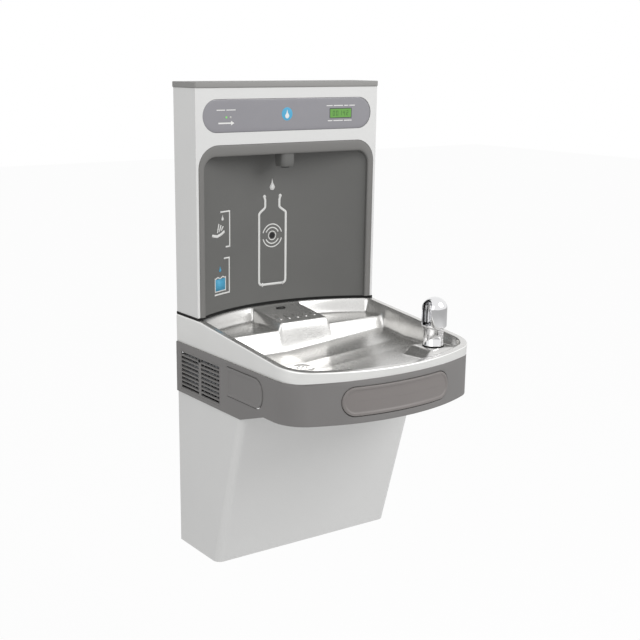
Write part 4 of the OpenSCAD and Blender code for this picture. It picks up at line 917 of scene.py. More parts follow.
    def pressing(self) -> bpy.types.Object:
        """The whole sheet, with its openings under the strainer and the bubbler."""
        top, m, n = self.grid()
        ids = (
            [(0, j) for j in range(n)] + [(i, n - 1) for i in range(1, m)]
            + [(m - 1, j) for j in range(n - 2, -1, -1)] + [(i, 0) for i in range(m - 2, 0, -1)]
        )
        edge = np.array([top[i, j] for i, j in ids])
        outward = np.zeros((len(ids), 2))
        for k, (i, j) in enumerate(ids):
            ahead, behind = edge[(k + 1) % len(ids)], edge[k - 1]
            along = (ahead - behind)[:2]
            outward[k] = np.array([along[1], -along[0]]) / max(1e-9, float(np.hypot(*along)))
            if j == 0:
                outward[k] = (0.0, 1.0)
            if i in (0, m - 1) and j < n - 1:
                outward[k] = (math.copysign(1.0, edge[k, 0]), 1.0 if j == 0 else 0.0)
        flip = -1.0 if outward[n + m // 2][1] > 0 else 1.0
        for k, (i, j) in enumerate(ids):
            if j == n - 1:
                outward[k] *= flip
        points = [tuple(p) for p in top.reshape(-1, 3)]
        faces = []
        for i in range(m - 1):
            for j in range(n - 1):
                centre = (top[i, j] + top[i + 1, j + 1]) / 2
                if math.dist(centre[:2], self.drain[:2]) < self.drain_hole:
                    continue
                if math.dist(centre[:2], self.bubbler[:2]) < self.shank:
                    continue
                a = i * n + j
                faces.append([a, a + 1, a + n + 1, a + n])
        last = [i * n + j for i, j in ids]
        for loop in self.rolled_edge(edge, outward):
            base = len(points)
            points += loop
            new = list(range(base, base + len(loop)))
            sides = [(k, (k + 1) % len(new)) for k in range(len(new))]
            faces += [[last[k], new[k], new[after], last[after]] for k, after in sides]
            last = new
        shell = piece("basin_pressing", points, faces, STAINLESS, sharp=60)
        wall = shell.modifiers.new("sheet", "SOLIDIFY")
        wall.thickness, wall.offset = self.sheet * MM, -1.0
        bake(shell)
        shell.data.set_sharp_from_angle(angle=math.radians(60))
        # The outer band's faces take the lighter copy of the stainless: painted light.
        shell.data.materials.append(LIT_BAND.material())
        for face in shell.data.polygons:
            x, y, z = (c / MM for c in face.center)
            outside = abs(x) > self.outer.half - self.lip / 2 or y < self.outer.front(x) + self.lip / 2
            if outside and z > LEVELS.band - 1 and abs(face.normal.z) < 0.6:
                face.material_index = 1
        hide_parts("basin")
        return shell

    def ribs(self) -> bpy.types.Object:
        """Five raised ribs that keep a bottle off the platform."""
        rule = Rule("platform_ribs", {
            "rib count": 5, "pitch": 22, "length": 27, "width": 8.0, "height": 3.2, "y": self.rib_y,
            "z": float(self.platform(self.rib_y)),
        })
        half = rule.maths("MULTIPLY", rule.size("length"), 0.5)
        ball = rule.add("GeometryNodeMeshUVSphere", {"Segments": 24, "Rings": 16, "Radius": 1.0}).outputs[0]
        shaped = rule.moved(
            ball, Rotation=(math.atan(self.platform_slope), 0.0, 0.0),
            Scale=rule.vector(rule.maths("MULTIPLY", rule.size("width"), 0.5), half, rule.size("height")),
        )
        first = rule.maths("MULTIPLY", rule.size("pitch"), -2.0)
        place = rule.vector(first, rule.size("y"), rule.size("z"))
        row = rule.row(shaped, rule.size("rib count"), place, rule.vector(rule.size("pitch")))
        return rule.run(row, STAINLESS, sharp=80)

    def slot_drain(self) -> bpy.types.Object:
        """Black slot-shaped drain at the back of the platform."""
        level, slope = float(self.platform(self.deck_drain_y)), self.platform_slope
        steps = [(0.0, -1.5), (0.0, 1.0), (0.6, 1.5), (1.6, 1.5), (2.0, 1.1), (2.2, -6.0)]
        loops = [
            [(x, self.deck_drain_y + y, level + up + slope * y) for x, y in stadium(*self.slot, inset, 14)]
            for inset, up in steps
        ]
        slot = piece("deck_slot_drain", *skin(loops), RUBBER, sharp=50)
        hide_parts("deck_drain")
        return slot

    def strainer(self) -> bpy.types.Object:
        """Dished strainer plate with a bead round it and a ring of drilled holes."""
        x, y, z = self.drain
        profile = [(0.0, 0.3), (14.0, 0.5), (19.0, 1.0), (22.0, 1.9), (24.6, 1.9), (25.6, 1.3), (26.0, 0.05),
                   (18.4, -0.1), (18.4, -24.0), (16.2, -24.0), (16.2, -2.0), (0.0, -2.0)]
        cup = piece("strainer_cup", *turned(profile, (x, y, z)), STAINLESS, sharp=40)
        rule = Rule("strainer_drills", {
            "hole count": 8, "radius": 2.5, "ring": 10.5, "x": x, "y": y, "z": z - 1,
        })
        drill = rule.add("GeometryNodeMeshCylinder", {
            "Vertices": 20, "Radius": rule.size("radius"), "Depth": 12 * MM,
        }).outputs[0]
        ring = rule.add("GeometryNodeMeshCircle", {
            "Vertices": rule.size("hole count"), "Radius": rule.size("ring"),
        }).outputs[0]
        spread = rule.add("GeometryNodeInstanceOnPoints", {"Points": ring, "Instance": drill}).outputs[0]
        place = rule.vector(rule.size("x"), rule.size("y"), rule.size("z"))
        carve(cup, [rule.run(rule.moved(rule.joined([spread, drill]), Translation=place), STAINLESS)])
        mend(cup, 40)
        # The cup's faces down in the well take a dark copy of the steel: painted shade in the recess.
        cup.data.materials.append(PAINTED_DRAIN_SHADE.material())
        for face in cup.data.polygons:
            across = abs(face.center.x - x * MM)
            if face.center.z < (z - self.well_top) * MM and across < self.well_r * MM:
                face.material_index = 1
        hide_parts("drain_strainer")
        return cup

    def build(self) -> list[bpy.types.Object]:
        """Builds the basin's pieces."""
        return [self.pressing(), self.ribs(), self.slot_drain(), self.strainer()]


# Apron


@dataclass
class Apron:
    """Moulded skirt under the basin, with its grilles and push bars."""

    head: DShape = DShape(233.5, 473.0, 500.0, 52.0)
    foot: DShape = DShape(233.5, 484.0, 455.0, 76.0)
    wall: float = 3.0
    side_d: float = 256.0
    rise_d: float = 340.0
    floor_y: float = -260.0
    grille_z: Point2 = (-32.0, 56.0)
    grille_y: Point2 = (-180.0, -18.0)
    front_w: float = 266.0
    front_h: float = 56.0
    side_y: Point2 = (-337.0, -209.0)
    side_h: float = 60.0
    side_r: float = 25.0
    gap: float = 1.5
    proud: float = 2.0
    post_x: float = 92.0
    post_r: float = 4.0
    plunger_r: float = 3.0
    side_posts: Point2 = (238.0, 308.0)
    guide_front: float = -440.0
    guide_side: float = 200.0
    # Where a bar's posts and its plunger end: Y behind the front bar, X behind a side bar.
    front_ends: Point2 = (-424.0, -455.5)
    side_ends: Point2 = (184.0, 215.5)
    # How far behind a bar's face its rods start and its springs seat, and the springs' play.
    rod_root: float = 2.5
    coil_seat: float = 3.0
    coil_play: float = 0.5
    grille_t: float = 2.4
    grille_rim: float = 3.0
    grille_rib: float = 9.0
    slat_tilt: float = 24.0

    def plan(self, z: float, grow: float = 0.0) -> DShape:
        """Plan of the skirt.

        Args:
            z: Height.
            grow: Distance outside its face.

        Returns:
            The plan at that height.
        """
        t = (z - LEVELS.apron) / (LEVELS.band - LEVELS.apron)
        low, high = astuple(self.foot.grown(grow)), astuple(self.head.grown(grow))
        return DShape(*(mix(a, b, t) for a, b in zip(low, high)))

    def loft(self, name: str, grow: float, low: float, high: float, wall_y: float) -> bpy.types.Object:
        """Closed body with the skirt's plan.

        Args:
            name: The piece's name.
            grow: Distance outside the skirt's face.
            low: Lowest height.
            high: Highest height.
            wall_y: Y of its back face.

        Returns:
            The body.
        """
        loops = []
        for z in np.linspace(low, high, 12):
            outline = self.plan(float(z), grow).outline()
            plan = [(outline[0][0], wall_y), *outline[1:-1], (outline[-1][0], wall_y)]
            loops.append([(x, y, z) for x, y in plan])
        return piece(name, *skin(loops), APRON_ABS)

    def underside(self, lift: float) -> bpy.types.Object:
        """Tool that shapes the lower edge: low at the sides, higher under the bowl.

        Args:
            lift: Distance above the edge.

        Returns:
            The tool.
        """
        high, low, far = LEVELS.bowl_under + lift, LEVELS.apron + lift, 900.0
        shape = [
            (-far, high), (-self.rise_d, high), (-self.side_d, low), (far, low), (far, -far), (-far, -far),
        ]
        loops = [[(x, y, z) for y, z in shape] for x in (-far, far)]
        return piece(f"underside_{lift:g}", *skin(loops), APRON_ABS)

    def front_pad(self, inset: float) -> list[Point2]:
        """Outline of the front push bar, across and up from its middle."""
        return stadium(self.front_w, self.front_h, inset)

    def side_pad(self, inset: float) -> list[Point2]:
        """Outline of a side push bar.

        Args:
            inset: Distance inside its edge.

        Returns:
            Points along Y and up from its middle.
        """
        y0, y1 = self.side_y
        h, r = self.side_h / 2 - inset, max(0.05, self.side_r - inset)
        outline = [(y1 - inset, z) for z in np.linspace(-h, h, 24)]
        outline += [(y, h) for y in np.linspace(y1 - inset, y0 + self.side_r, 30)[1:-1]]
        for start, z in ((90, h - r), (180, -h + r)):
            outline += [
                (y0 + self.side_r + r * math.cos(math.radians(a)), z + r * math.sin(math.radians(a)))
                for a in np.linspace(start, start + 90, 14)
            ]
        outline += [(y, -h) for y in np.linspace(y0 + self.side_r, y1 - inset, 30)[1:-1]]
        return outline[::-1]

    def body(self) -> bpy.types.Object:
        """The skirt itself."""
        shell = self.loft("apron_skirt", 0.0, LEVELS.apron, LEVELS.band, 0.0)
        carve(shell, [self.underside(0.0)])
        hollow = self.loft("apron_hollow", -self.wall, LEVELS.apron, LEVELS.band + 5, 5.0)
        carve(hollow, [self.underside(self.wall)])
        half, play = self.head.half - self.wall, 2 * self.gap
        opening = block((-half, self.floor_y, -60), (half, 5, LEVELS.bowl_under))
        tools = [hollow, piece("rear_opening", *opening, APRON_ABS)]
        for side in (-1, 1):
            x = sorted((side * (half - 2), side * (self.head.half + 4)))
            low, high = ((x[k], self.grille_y[k], self.grille_z[k]) for k in range(2))
            tools.append(piece("grille_opening", *block(low, high), APRON_ABS))
            loops = [[(level, y, LEVELS.bar + z) for y, z in self.side_pad(-self.gap)] for level in x]
            tools.append(piece("side_bar_opening", *skin(loops), APRON_ABS))
        pad = stadium(self.front_w + play, self.front_h + play)
        loops = [[(across, level, LEVELS.bar + z) for across, z in pad] for level in (-500.0, -400.0)]
        tools.append(piece("front_bar_opening", *skin(loops), APRON_ABS))
        carve(shell, tools)
        mend(shell)
        soften(shell, 0.9, 2, 32)
        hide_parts("apron")
        return shell

    def pad(
        self, name: str, outline: Callable[[float], list[Point2]],
        face: Callable[[float, float, float], Point3], finish: Finish = BAR_ABS,
    ) -> bpy.types.Object:
        """A push bar's pad with a raised frame round a shallow panel.

        Args:
            name: The piece's name.
            outline: Outline at an inset.
            face: Point at a place on the outline's plane, lifted off the apron's face.
            finish: Its plastic; the side bars pass the darker apron plastic as painted shade.

        Returns:
            The pad as a closed shell.
        """
        steps = [(0.0, -3.0), (0.0, 0.4), (0.35, 1.2), (1.0, 1.8), (2.0, self.proud), (4.6, self.proud),
                 (5.6, 1.7), (6.6, 0.9), (7.8, 0.45), (9.0, 0.35), (14.0, 0.35), (20.0, 0.35), (24.8, 0.35)]
        if outline(27.9)[0][0] > 50:
            steps.append((27.9, 0.35))
        loops = [[face(a, b, up) for a, b in outline(inset)] for inset, up in steps]
        loops.insert(0, [face(a, b, -3.0) for a, b in outline(6.0)])
        return piece(name, *skin(loops), finish, sharp=50)

    def rod(self, start: Point3, radius: float, length: float, axis: str) -> bpy.types.Object:
        """A post or plunger behind a bar, its free end chamfered.

        Args:
            start: Middle of its root.
            radius: Its radius.
            length: Its length.
            axis: Row axis along which it runs.

        Returns:
            The rod.
        """
        profile = [(0.0, 0.0), (radius, 0.0), (radius, length - 0.8), (radius - 0.8, length), (0.0, length)]
        return piece("post", *turned(profile, start, axis, 40), BAR_ABS)

    def front_bar(self) -> bpy.types.Object:
        """Front push bar with its two posts and its plunger."""

        def face(a: float, b: float, up: float) -> Point3:
            """Point a across and b up from the bar's middle, lifted off the apron's front."""
            return a, self.plan(LEVELS.bar + b, up).front(a), LEVELS.bar + b

        parts = [self.pad("front_bar_pad", self.front_pad, face)]
        post, plunger = self.front_ends
        posts = [(x, self.post_r, post) for x in (-self.post_x, self.post_x)]
        for x, r, end in (*posts, (0.0, self.plunger_r, plunger)):
            start = self.plan(LEVELS.bar).front(x) + self.rod_root
            parts.append(self.rod((x, start, LEVELS.bar), r, end - start, "y"))
        bar = join("front_bar", parts)
        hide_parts("front_push_bar")
        return bar

    def side_bar(self, side: int) -> bpy.types.Object:
        """Side push bar with its two posts and its plunger.

        Args:
            side: -1 for the left, 1 for the right.

        Returns:
            The bar.
        """

        def face(a: float, b: float, up: float) -> Point3:
            """Point a along Y and b up from the bar's middle, lifted off the apron's side."""
            return side * (self.head.half + up), a, LEVELS.bar + b

        name, axis = ("left", "x") if side < 0 else ("right", "-x")
        # The side pads take the darker apron plastic in place of the bar plastic: painted shade for the
        # shaded sides.
        parts = [self.pad(f"{name}_bar_pad", self.side_pad, face, APRON_ABS)]
        post, plunger = self.side_ends
        posts = [(y, self.post_r, post) for y in self.side_posts]
        start = self.head.half - self.rod_root
        for y, r, end in (*posts, (sum(self.side_posts) / 2, self.plunger_r, plunger)):
            parts.append(self.rod((side * start, -y, LEVELS.bar), r, start - end, axis))
        bar = join(f"{name}_bar", parts)
        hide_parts(f"{name}_push_bar")
        return bar

    def grille(self, side: int) -> bpy.types.Object:
        """Louvred grille: slanted slats in a frame with a middle rib.

        Args:
            side: -1 for the left, 1 for the right.

        Returns:
            The grille.
        """
        name = "left" if side < 0 else "right"
        (y0, y1), (z0, z1) = self.grille_y, self.grille_z
        x, rim, rib = self.head.half, self.grille_rim, self.grille_rib
        mid = (y0 + y1) / 2
        frame = piece("frame", *block((x - self.grille_t, y0, z0), (x, y1, z1)), APRON_ABS)
        holes = [
            piece("hole", *block((x - 5, a, z0 + rim), (x + 5, b, z1 - rim)), APRON_ABS)
            for a, b in ((y0 + rim, mid - rib / 2), (mid + rib / 2, y1 - rim))
        ]
        carve(frame, holes)
        mend(frame)
        rule = Rule(f"{name}_louvres", {
            "slat count": 10, "pitch": (z1 - z0 - 2 * rim) / 9, "length": (y1 - y0) - 2 * rim, "depth": 4.6,
            "thickness": 3.4, "x": x - 2.3, "y": mid, "z": z0 + rim,
        })
        box = rule.vector(rule.size("depth"), rule.size("length"), rule.size("thickness"))
        slat = rule.add("GeometryNodeMeshCube", {"Size": box}).outputs[0]
        place = rule.vector(rule.size("x"), rule.size("y"), rule.size("z"))
        step, tilt = rule.vector(0.0, 0.0, rule.size("pitch")), (0.0, math.radians(self.slat_tilt), 0.0)
        slats = rule.run(rule.row(slat, rule.size("slat count"), place, step, tilt), APRON_ABS)
        grille = join(f"{name}_grille_louvred", [frame, slats])
        soften(grille, 0.35, 1, 40)
        if side < 0:
            grille.data.transform(Matrix.Scale(-1, 4, (1, 0, 0)))
            grille.data.flip_normals()
        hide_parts(f"{name}_grille")
        return grille

    def screws(self) -> bpy.types.Object:
        """Pan-head screws of both grilles."""
        rule = Rule("grille_pan_screws", {
            "head": 4.0, "x": self.head.half, "y": sum(self.grille_y) / 2, "z": self.grille_z[1] - 9,
        })
        ball = {"Segments": 32, "Rings": 16, "Radius": rule.size("head")}
        flat = rule.moved(rule.add("GeometryNodeMeshUVSphere", ball).outputs[0], Scale=(0.4, 1.0, 1.0))
        shank = rule.add("GeometryNodeMeshCylinder", {"Vertices": 24, "Radius": 2.2 * MM, "Depth": 5 * MM})
        laid = rule.moved(shank.outputs["Mesh"], Rotation=(0.0, math.pi / 2, 0.0))
        left = rule.maths("MULTIPLY", rule.size("x"), -1.0)
        place = rule.vector(left, rule.size("y"), rule.size("z"))
        step = rule.vector(rule.maths("MULTIPLY", rule.size("x"), 2.0))
        heads = rule.run(rule.row(rule.joined([flat, laid]), 2, place, step), BLACKED)
        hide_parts("grille_screws")
        return heads

    def coil(
        self, name: str, node: str, seats: Sequence[Point3], axis: str, length: float
    ) -> bpy.types.Object:
        """Return springs between a bar and its guides.

        Args:
            name: The piece's name.
            node: The CAD node that the springs stand for.
            seats: Foot of each spring on its guide.
            axis: Row axis from the guide to the bar.
            length: Free length.

        Returns:
            Both springs as one piece.
        """
        rule = Rule(name, {"radius": 5.4, "wire": 0.55, "length": length})
        spiral = rule.add("GeometryNodeCurveSpiral", {
            "Resolution": 20, "Rotations": 7.0, "Start Radius": rule.size("radius"),
            "End Radius": rule.size("radius"), "Height": rule.size("length"),
        }).outputs[0]
        section = rule.add("GeometryNodeCurvePrimitiveCircle", {"Resolution": 8, "Radius": rule.size("wire")})
        wire = rule.add("GeometryNodeCurveToMesh", {
            "Curve": spiral, "Profile Curve": section.outputs[0], "Fill Caps": True,
        }).outputs[0]
        quarter = math.pi / 2
        turn = {"-y": (quarter, 0.0, 0.0), "x": (0.0, quarter, 0.0), "-x": (0.0, -quarter, 0.0)}[axis]
        places = [tuple(c * MM for c in seat) for seat in seats]
        both = rule.joined([rule.moved(wire, Rotation=turn, Translation=place) for place in places])
        springs = rule.run(both, ZINC, sharp=80)
        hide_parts(node)
        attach(springs, "root")
        tuple(c * MM for c in seats[0])
        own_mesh(springs)
        return springs

    def build(self) -> dict[str, list[bpy.types.Object]]:
        """Builds the apron's pieces, by the body that each rides on."""
        front = self.plan(LEVELS.bar).front(self.post_x) + self.coil_seat
        seats = [(x, self.guide_front, LEVELS.bar) for x in (-self.post_x, self.post_x)]
        length = self.guide_front - front - self.coil_play
        self.coil("front_coils", "front_bar_springs", seats, "-y", length)
        length = self.head.half - self.coil_seat - self.guide_side - self.coil_play
        for side, name, axis in ((-1, "left", "-x"), (1, "right", "x")):
            seats = [(side * self.guide_side, -y, LEVELS.bar) for y in self.side_posts]
            self.coil(f"{name}_coils", f"{name}_bar_springs", seats, axis, length)
        return {
            "root": [self.body(), self.grille(-1), self.grille(1), self.screws()],
            "front_bar": [self.front_bar()], "left_bar": [self.side_bar(-1)], "right_bar": [self.side_bar(1)],
        }


# Bubbler


@dataclass
class Bubbler:
    """Chrome bubbler: stem, hood with an arched mouth, and the jet inside."""

    x: float = 172.0
    y: float = -368.0
    seat: float = 83.5
    stem_r: float = 21.5
    stem_h: float = 38.0
    hood_r: float = 26.0
    hood_h: float = 63.5
    hood_wall: float = 2.4
    dome: float = 24.0
    mouth_r: float = 14.5
    mouth_drop: float = 5.0

    def stem(self) -> bpy.types.Object:
        """Turned stem with a rounded foot, a waist groove and its threaded shank."""
        r, h = self.stem_r, self.stem_h
        profile = [
            (0.0, -30.0), (12.2, -30.0), (13.0, -29.0), (13.0, 0.0), (r - 0.6, 0.0), (r, 0.6), (r, 2.2),
            (r - 0.8, 3.2), (r - 0.8, h - 3.0), (r - 0.2, h - 2.0), (r - 0.2, h - 0.3), (r - 1.2, h),
            (0.0, h),
        ]
        stem = piece("bubbler_stem", *turned(profile, (self.x, self.y, self.seat)), CHROME, sharp=50)
        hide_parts("bubbler_body")
        return stem

    def hood(self) -> bpy.types.Object:
        """Domed hood, open towards the bowl."""
        base = self.seat + self.stem_h
        side = self.hood_h - self.dome
        r, w = self.hood_r, self.hood_wall
        outer = [(self.stem_r, 0.0), (self.stem_r + 2.2, 0.5), (r - 0.4, 2.6), (r, 4.0), (r, side)]
        quarter = np.linspace(0, math.pi / 2, 20)
        outer += [(r * math.cos(a), side + self.dome * math.sin(a)) for a in quarter[1:]]
        inner = [((r - w) * math.cos(a), side + (self.dome - w) * math.sin(a)) for a in quarter[::-1]]
        inner += [(r - w, 4.2), (r - w - 1.5, 3.0), (0.0, 3.0)]
        profile = [(0.0, 0.0)] + outer + inner
        shell = turned(profile, (self.x, self.y, base), steps=128)
        hood = piece("bubbler_hood_chromed", *shell, CHROME, sharp=50)
        arch = self.hood_h - self.mouth_r - self.mouth_drop
        m = self.mouth_r
        outline = [(-m, 6.5), (m, 6.5)] + [
            (m * math.cos(a), arch + m * math.sin(a)) for a in np.linspace(0, math.pi, 32)
        ]
        tool = piece("mouth", *skin([
            [(self.x + level, self.y + a, base + b) for a, b in outline] for level in (-60.0, -6.0)
        ]), CHROME)
        carve(hood, [tool])
        mend(hood, 40)
        soften(hood, 0.7, 2, 40)
        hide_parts("bubbler_hood")
        return hood

    def jet(self) -> bpy.types.Object:
        """Brass-bodied jet with its angled spout."""
        base = self.seat + self.stem_h
        profile = [(0.0, 0.0), (8.0, 0.0), (8.0, 11.0), (6.4, 14.2), (3.0, 15.8), (0.0, 16.0)]
        body = piece("jet_body", *turned(profile, (self.x, self.y, base + 0.01)), CHROME, sharp=50)
        nose = [(1.6, 0.0), (2.9, 0.0), (2.6, 9.0), (1.6, 9.0), (1.6, 0.0)]
        spout = piece("jet_spout", *turned(nose, (0, 0, 0), "-x", 40), CHROME, sharp=50)
        place = Matrix.Translation(Vector((self.x - 4.5, self.y, base + 8.5)) * MM)
        spout.data.transform(place @ Matrix.Rotation(math.radians(28), 4, "Y"))
        jet = join("bubbler_jet", [body, spout])
        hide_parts("bubbler_orifice")
        return jet

    def build(self) -> list[bpy.types.Object]:
        """Builds the bubbler's pieces."""
        return [self.stem(), self.hood(), self.jet()]


# Tower


def mirrored(half: Sequence[Point2]) -> list[Point2]:
    """Half an outline and its mirror image, drawn back to the start."""
    return [*half, *((-x, y) for x, y in half[::-1])]


@dataclass
class Tower:
    """Cap, curved alcove liner and filler nozzle."""

    half: float = 230.0
    front: float = -88.0
    cap_lip: float = 2.0
    cap_r: float = 4.0
    liner_half: float = 224.0
    liner_r: float = 47.0
    mouth_r: float = 28.5
    flange_side: float = 14.0
    flange_top: float = 23.0
    liner_t: float = 2.0
    nozzle_w: float = 34.0
    nozzle_d: float = 28.0
    nozzle_y: float = -70.0
    nozzle_low: float = 436.0

    def cap(self) -> bpy.types.Object:
        """Moulded cap with rounded corners and a shadow line over the shell."""
        half, front = self.half + self.cap_lip, self.front - self.cap_lip

        def outline(inset: float, z: float) -> Loop:
            """The cap's outline at height z, drawn in by an inset."""
            w, f, c = half - inset, front + inset, max(0.6, self.cap_r - inset)
            turns = np.linspace(0, math.pi / 2, 8)
            corner = [(w - c + c * math.cos(a), f + c - c * math.sin(a)) for a in turns]
            return [(x, y, z) for x, y in mirrored([(w, 0.0), *corner])]

        low, high = LEVELS.cap, LEVELS.top
        steps = [(1.4, low), (1.4, low + 0.9), (0.0, low + 1.5), (0.0, high - 1.6), (0.35, high - 0.6),
                 (1.2, high - 0.1), (2.4, high)]
        cap = piece("cap_moulding", *skin([outline(*step) for step in steps]), CAP_ABS, sharp=40)
        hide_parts("top_cap")
        return cap

    def arch(
        self, inset_side: float, inset_top: float, radius: float, rows: int = 60, corner: int = 20,
        across: int = 120,
    ) -> list[Point2]:
        """Outline of the alcove from its left foot over the top to its right foot.

        Args:
            inset_side: Distance inside the flange's sides.
            inset_top: Distance under the flange's top.
            radius: Radius of the upper corners.
            rows: Points up each side.
            corner: Points round each corner.
            across: Points across the top.

        Returns:
            Points across and up.
        """
        w, high, r = self.liner_half - inset_side, LEVELS.alcove_top - inset_top, radius
        left = [(-w, z) for z in np.linspace(LEVELS.tower, high - r, rows)[:-1]]
        turns = np.linspace(0, math.pi / 2, corner)
        left += [(-w + r - r * math.cos(a), high - r + r * math.sin(a)) for a in turns]
        top = [(x, high) for x in np.linspace(-w + r, w - r, across)[1:-1]]
        return left + top + [(-x, z) for x, z in left[::-1]]

    def liner(self) -> bpy.types.Object:
        """Moulded liner: a flange, side and ceiling walls and the curved back in one sheet."""
        edge = self.arch(0.0, 0.0, self.liner_r)
        mouth = self.arch(self.flange_side, self.flange_top, self.mouth_r)
        count, sill = len(edge), self.front + 2.4
        rings: list[Loop] = [[(x, self.front + 1.6, z) for x, z in edge]]
        for share, back in ((0.04, 0.35), (0.12, 0.0), (0.72, 0.0), (0.9, 0.5)):
            y = self.front + back
            rings.append([(mix(x, m[0], share), y, mix(z, m[1], share)) for (x, z), m in zip(edge, mouth)])
        rings.append([(x, sill, z) for x, z in mouth])
        for share in (0.3, 0.6, 0.9):
            rings.append([(x, mix(sill, float(ARC.y(x)), share), z) for x, z in mouth])
        inner = self.arch(self.flange_side + 1.5, self.flange_top + 1.5, self.mouth_r - 1.5)
        fillet = self.arch(self.flange_side + 0.3, self.flange_top + 0.3, self.mouth_r - 0.3)
        rings.append([(x, mix(sill, float(ARC.y(x)), 0.985), z) for x, z in fillet])
        rings.append([(x, float(ARC.y(x)), z) for x, z in inner])
        points = [p for ring in rings for p in ring]
        faces = [
            [k * count + i, k * count + i + 1, (k + 1) * count + i + 1, (k + 1) * count + i]
            for k in range(len(rings) - 1)
            for i in range(count - 1)
        ]
        # The back is filled at each height, from the left edge's point across to the right edge's.
        base = (len(rings) - 1) * count
        steps, half = 72, count // 2
        columns: list[list[int]] = []
        for i in range(half):
            (x0, z0), (x1, z1) = inner[i], inner[count - 1 - i]
            line = [base + i]
            for s in range(1, steps):
                x = mix(x0, x1, s / steps)
                line.append(len(points))
                points.append((x, float(ARC.y(x)), mix(z0, z1, s / steps)))
            columns.append(line + [base + count - 1 - i])
        for a, b in zip(columns, columns[1:]):
            faces += [[a[s], a[s + 1], b[s + 1], b[s]] for s in range(steps)]
        shell = piece("liner_moulding", points, faces, LINER_ABS, sharp=60)
        wall = shell.modifiers.new("wall", "SOLIDIFY")
        wall.thickness, wall.offset = self.liner_t * MM, -1.0
        bake(shell)
        shell.data.set_sharp_from_angle(angle=math.radians(60))
        # The flange's front faces take the lighter copy of the liner's plastic: painted light.
        shell.data.materials.append(LIT_FLANGE_ABS.material())
        for face in shell.data.polygons:
            if face.center.y < (self.front + 2.0) * MM:
                face.material_index = 1
        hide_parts("alcove_liner")
        return shell

    def nozzle(self) -> bpy.types.Object:
        """Filler nozzle housing, rounded in front and tapered to its mouth."""

        def outline(inset: float, z: float) -> Loop:
            """The housing's outline at height z, drawn in by an inset."""
            w, deep = self.nozzle_w / 2 - inset, self.nozzle_d / 2 - inset
            front, r = self.nozzle_y - deep, min(9.0, w - 1)
            turns = np.linspace(0, math.pi / 2, 14)
            corner = [(w - r + r * math.cos(a), front + r - r * math.sin(a)) for a in turns]
            return [(x, y, z) for x, y in mirrored([(w, self.nozzle_y + deep), *corner])]

        low, high = self.nozzle_low, LEVELS.alcove_top - self.flange_top
        steps = [(3.4, low), (2.2, low + 0.3), (1.2, low + 1.4), (0.0, low + 10.0), (0.0, high)]
        house = piece("nozzle_housing", *skin([outline(*step) for step in steps]), LINER_ABS, sharp=50)
        profile = [(0.0, -2.0), (9.0, -2.0), (9.0, 19.0), (8.0, 20.0), (0.0, 20.0)]
        neck = piece("nozzle_neck", *turned(profile, (0.0, self.nozzle_y, high)), LINER_ABS)
        nozzle = join("filler_nozzle_housing", [house, neck])
        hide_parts("filler_nozzle")
        return nozzle

    def build(self) -> list[bpy.types.Object]:
        """Builds the tower's pieces."""
        return [self.cap(), self.liner(), self.nozzle()]


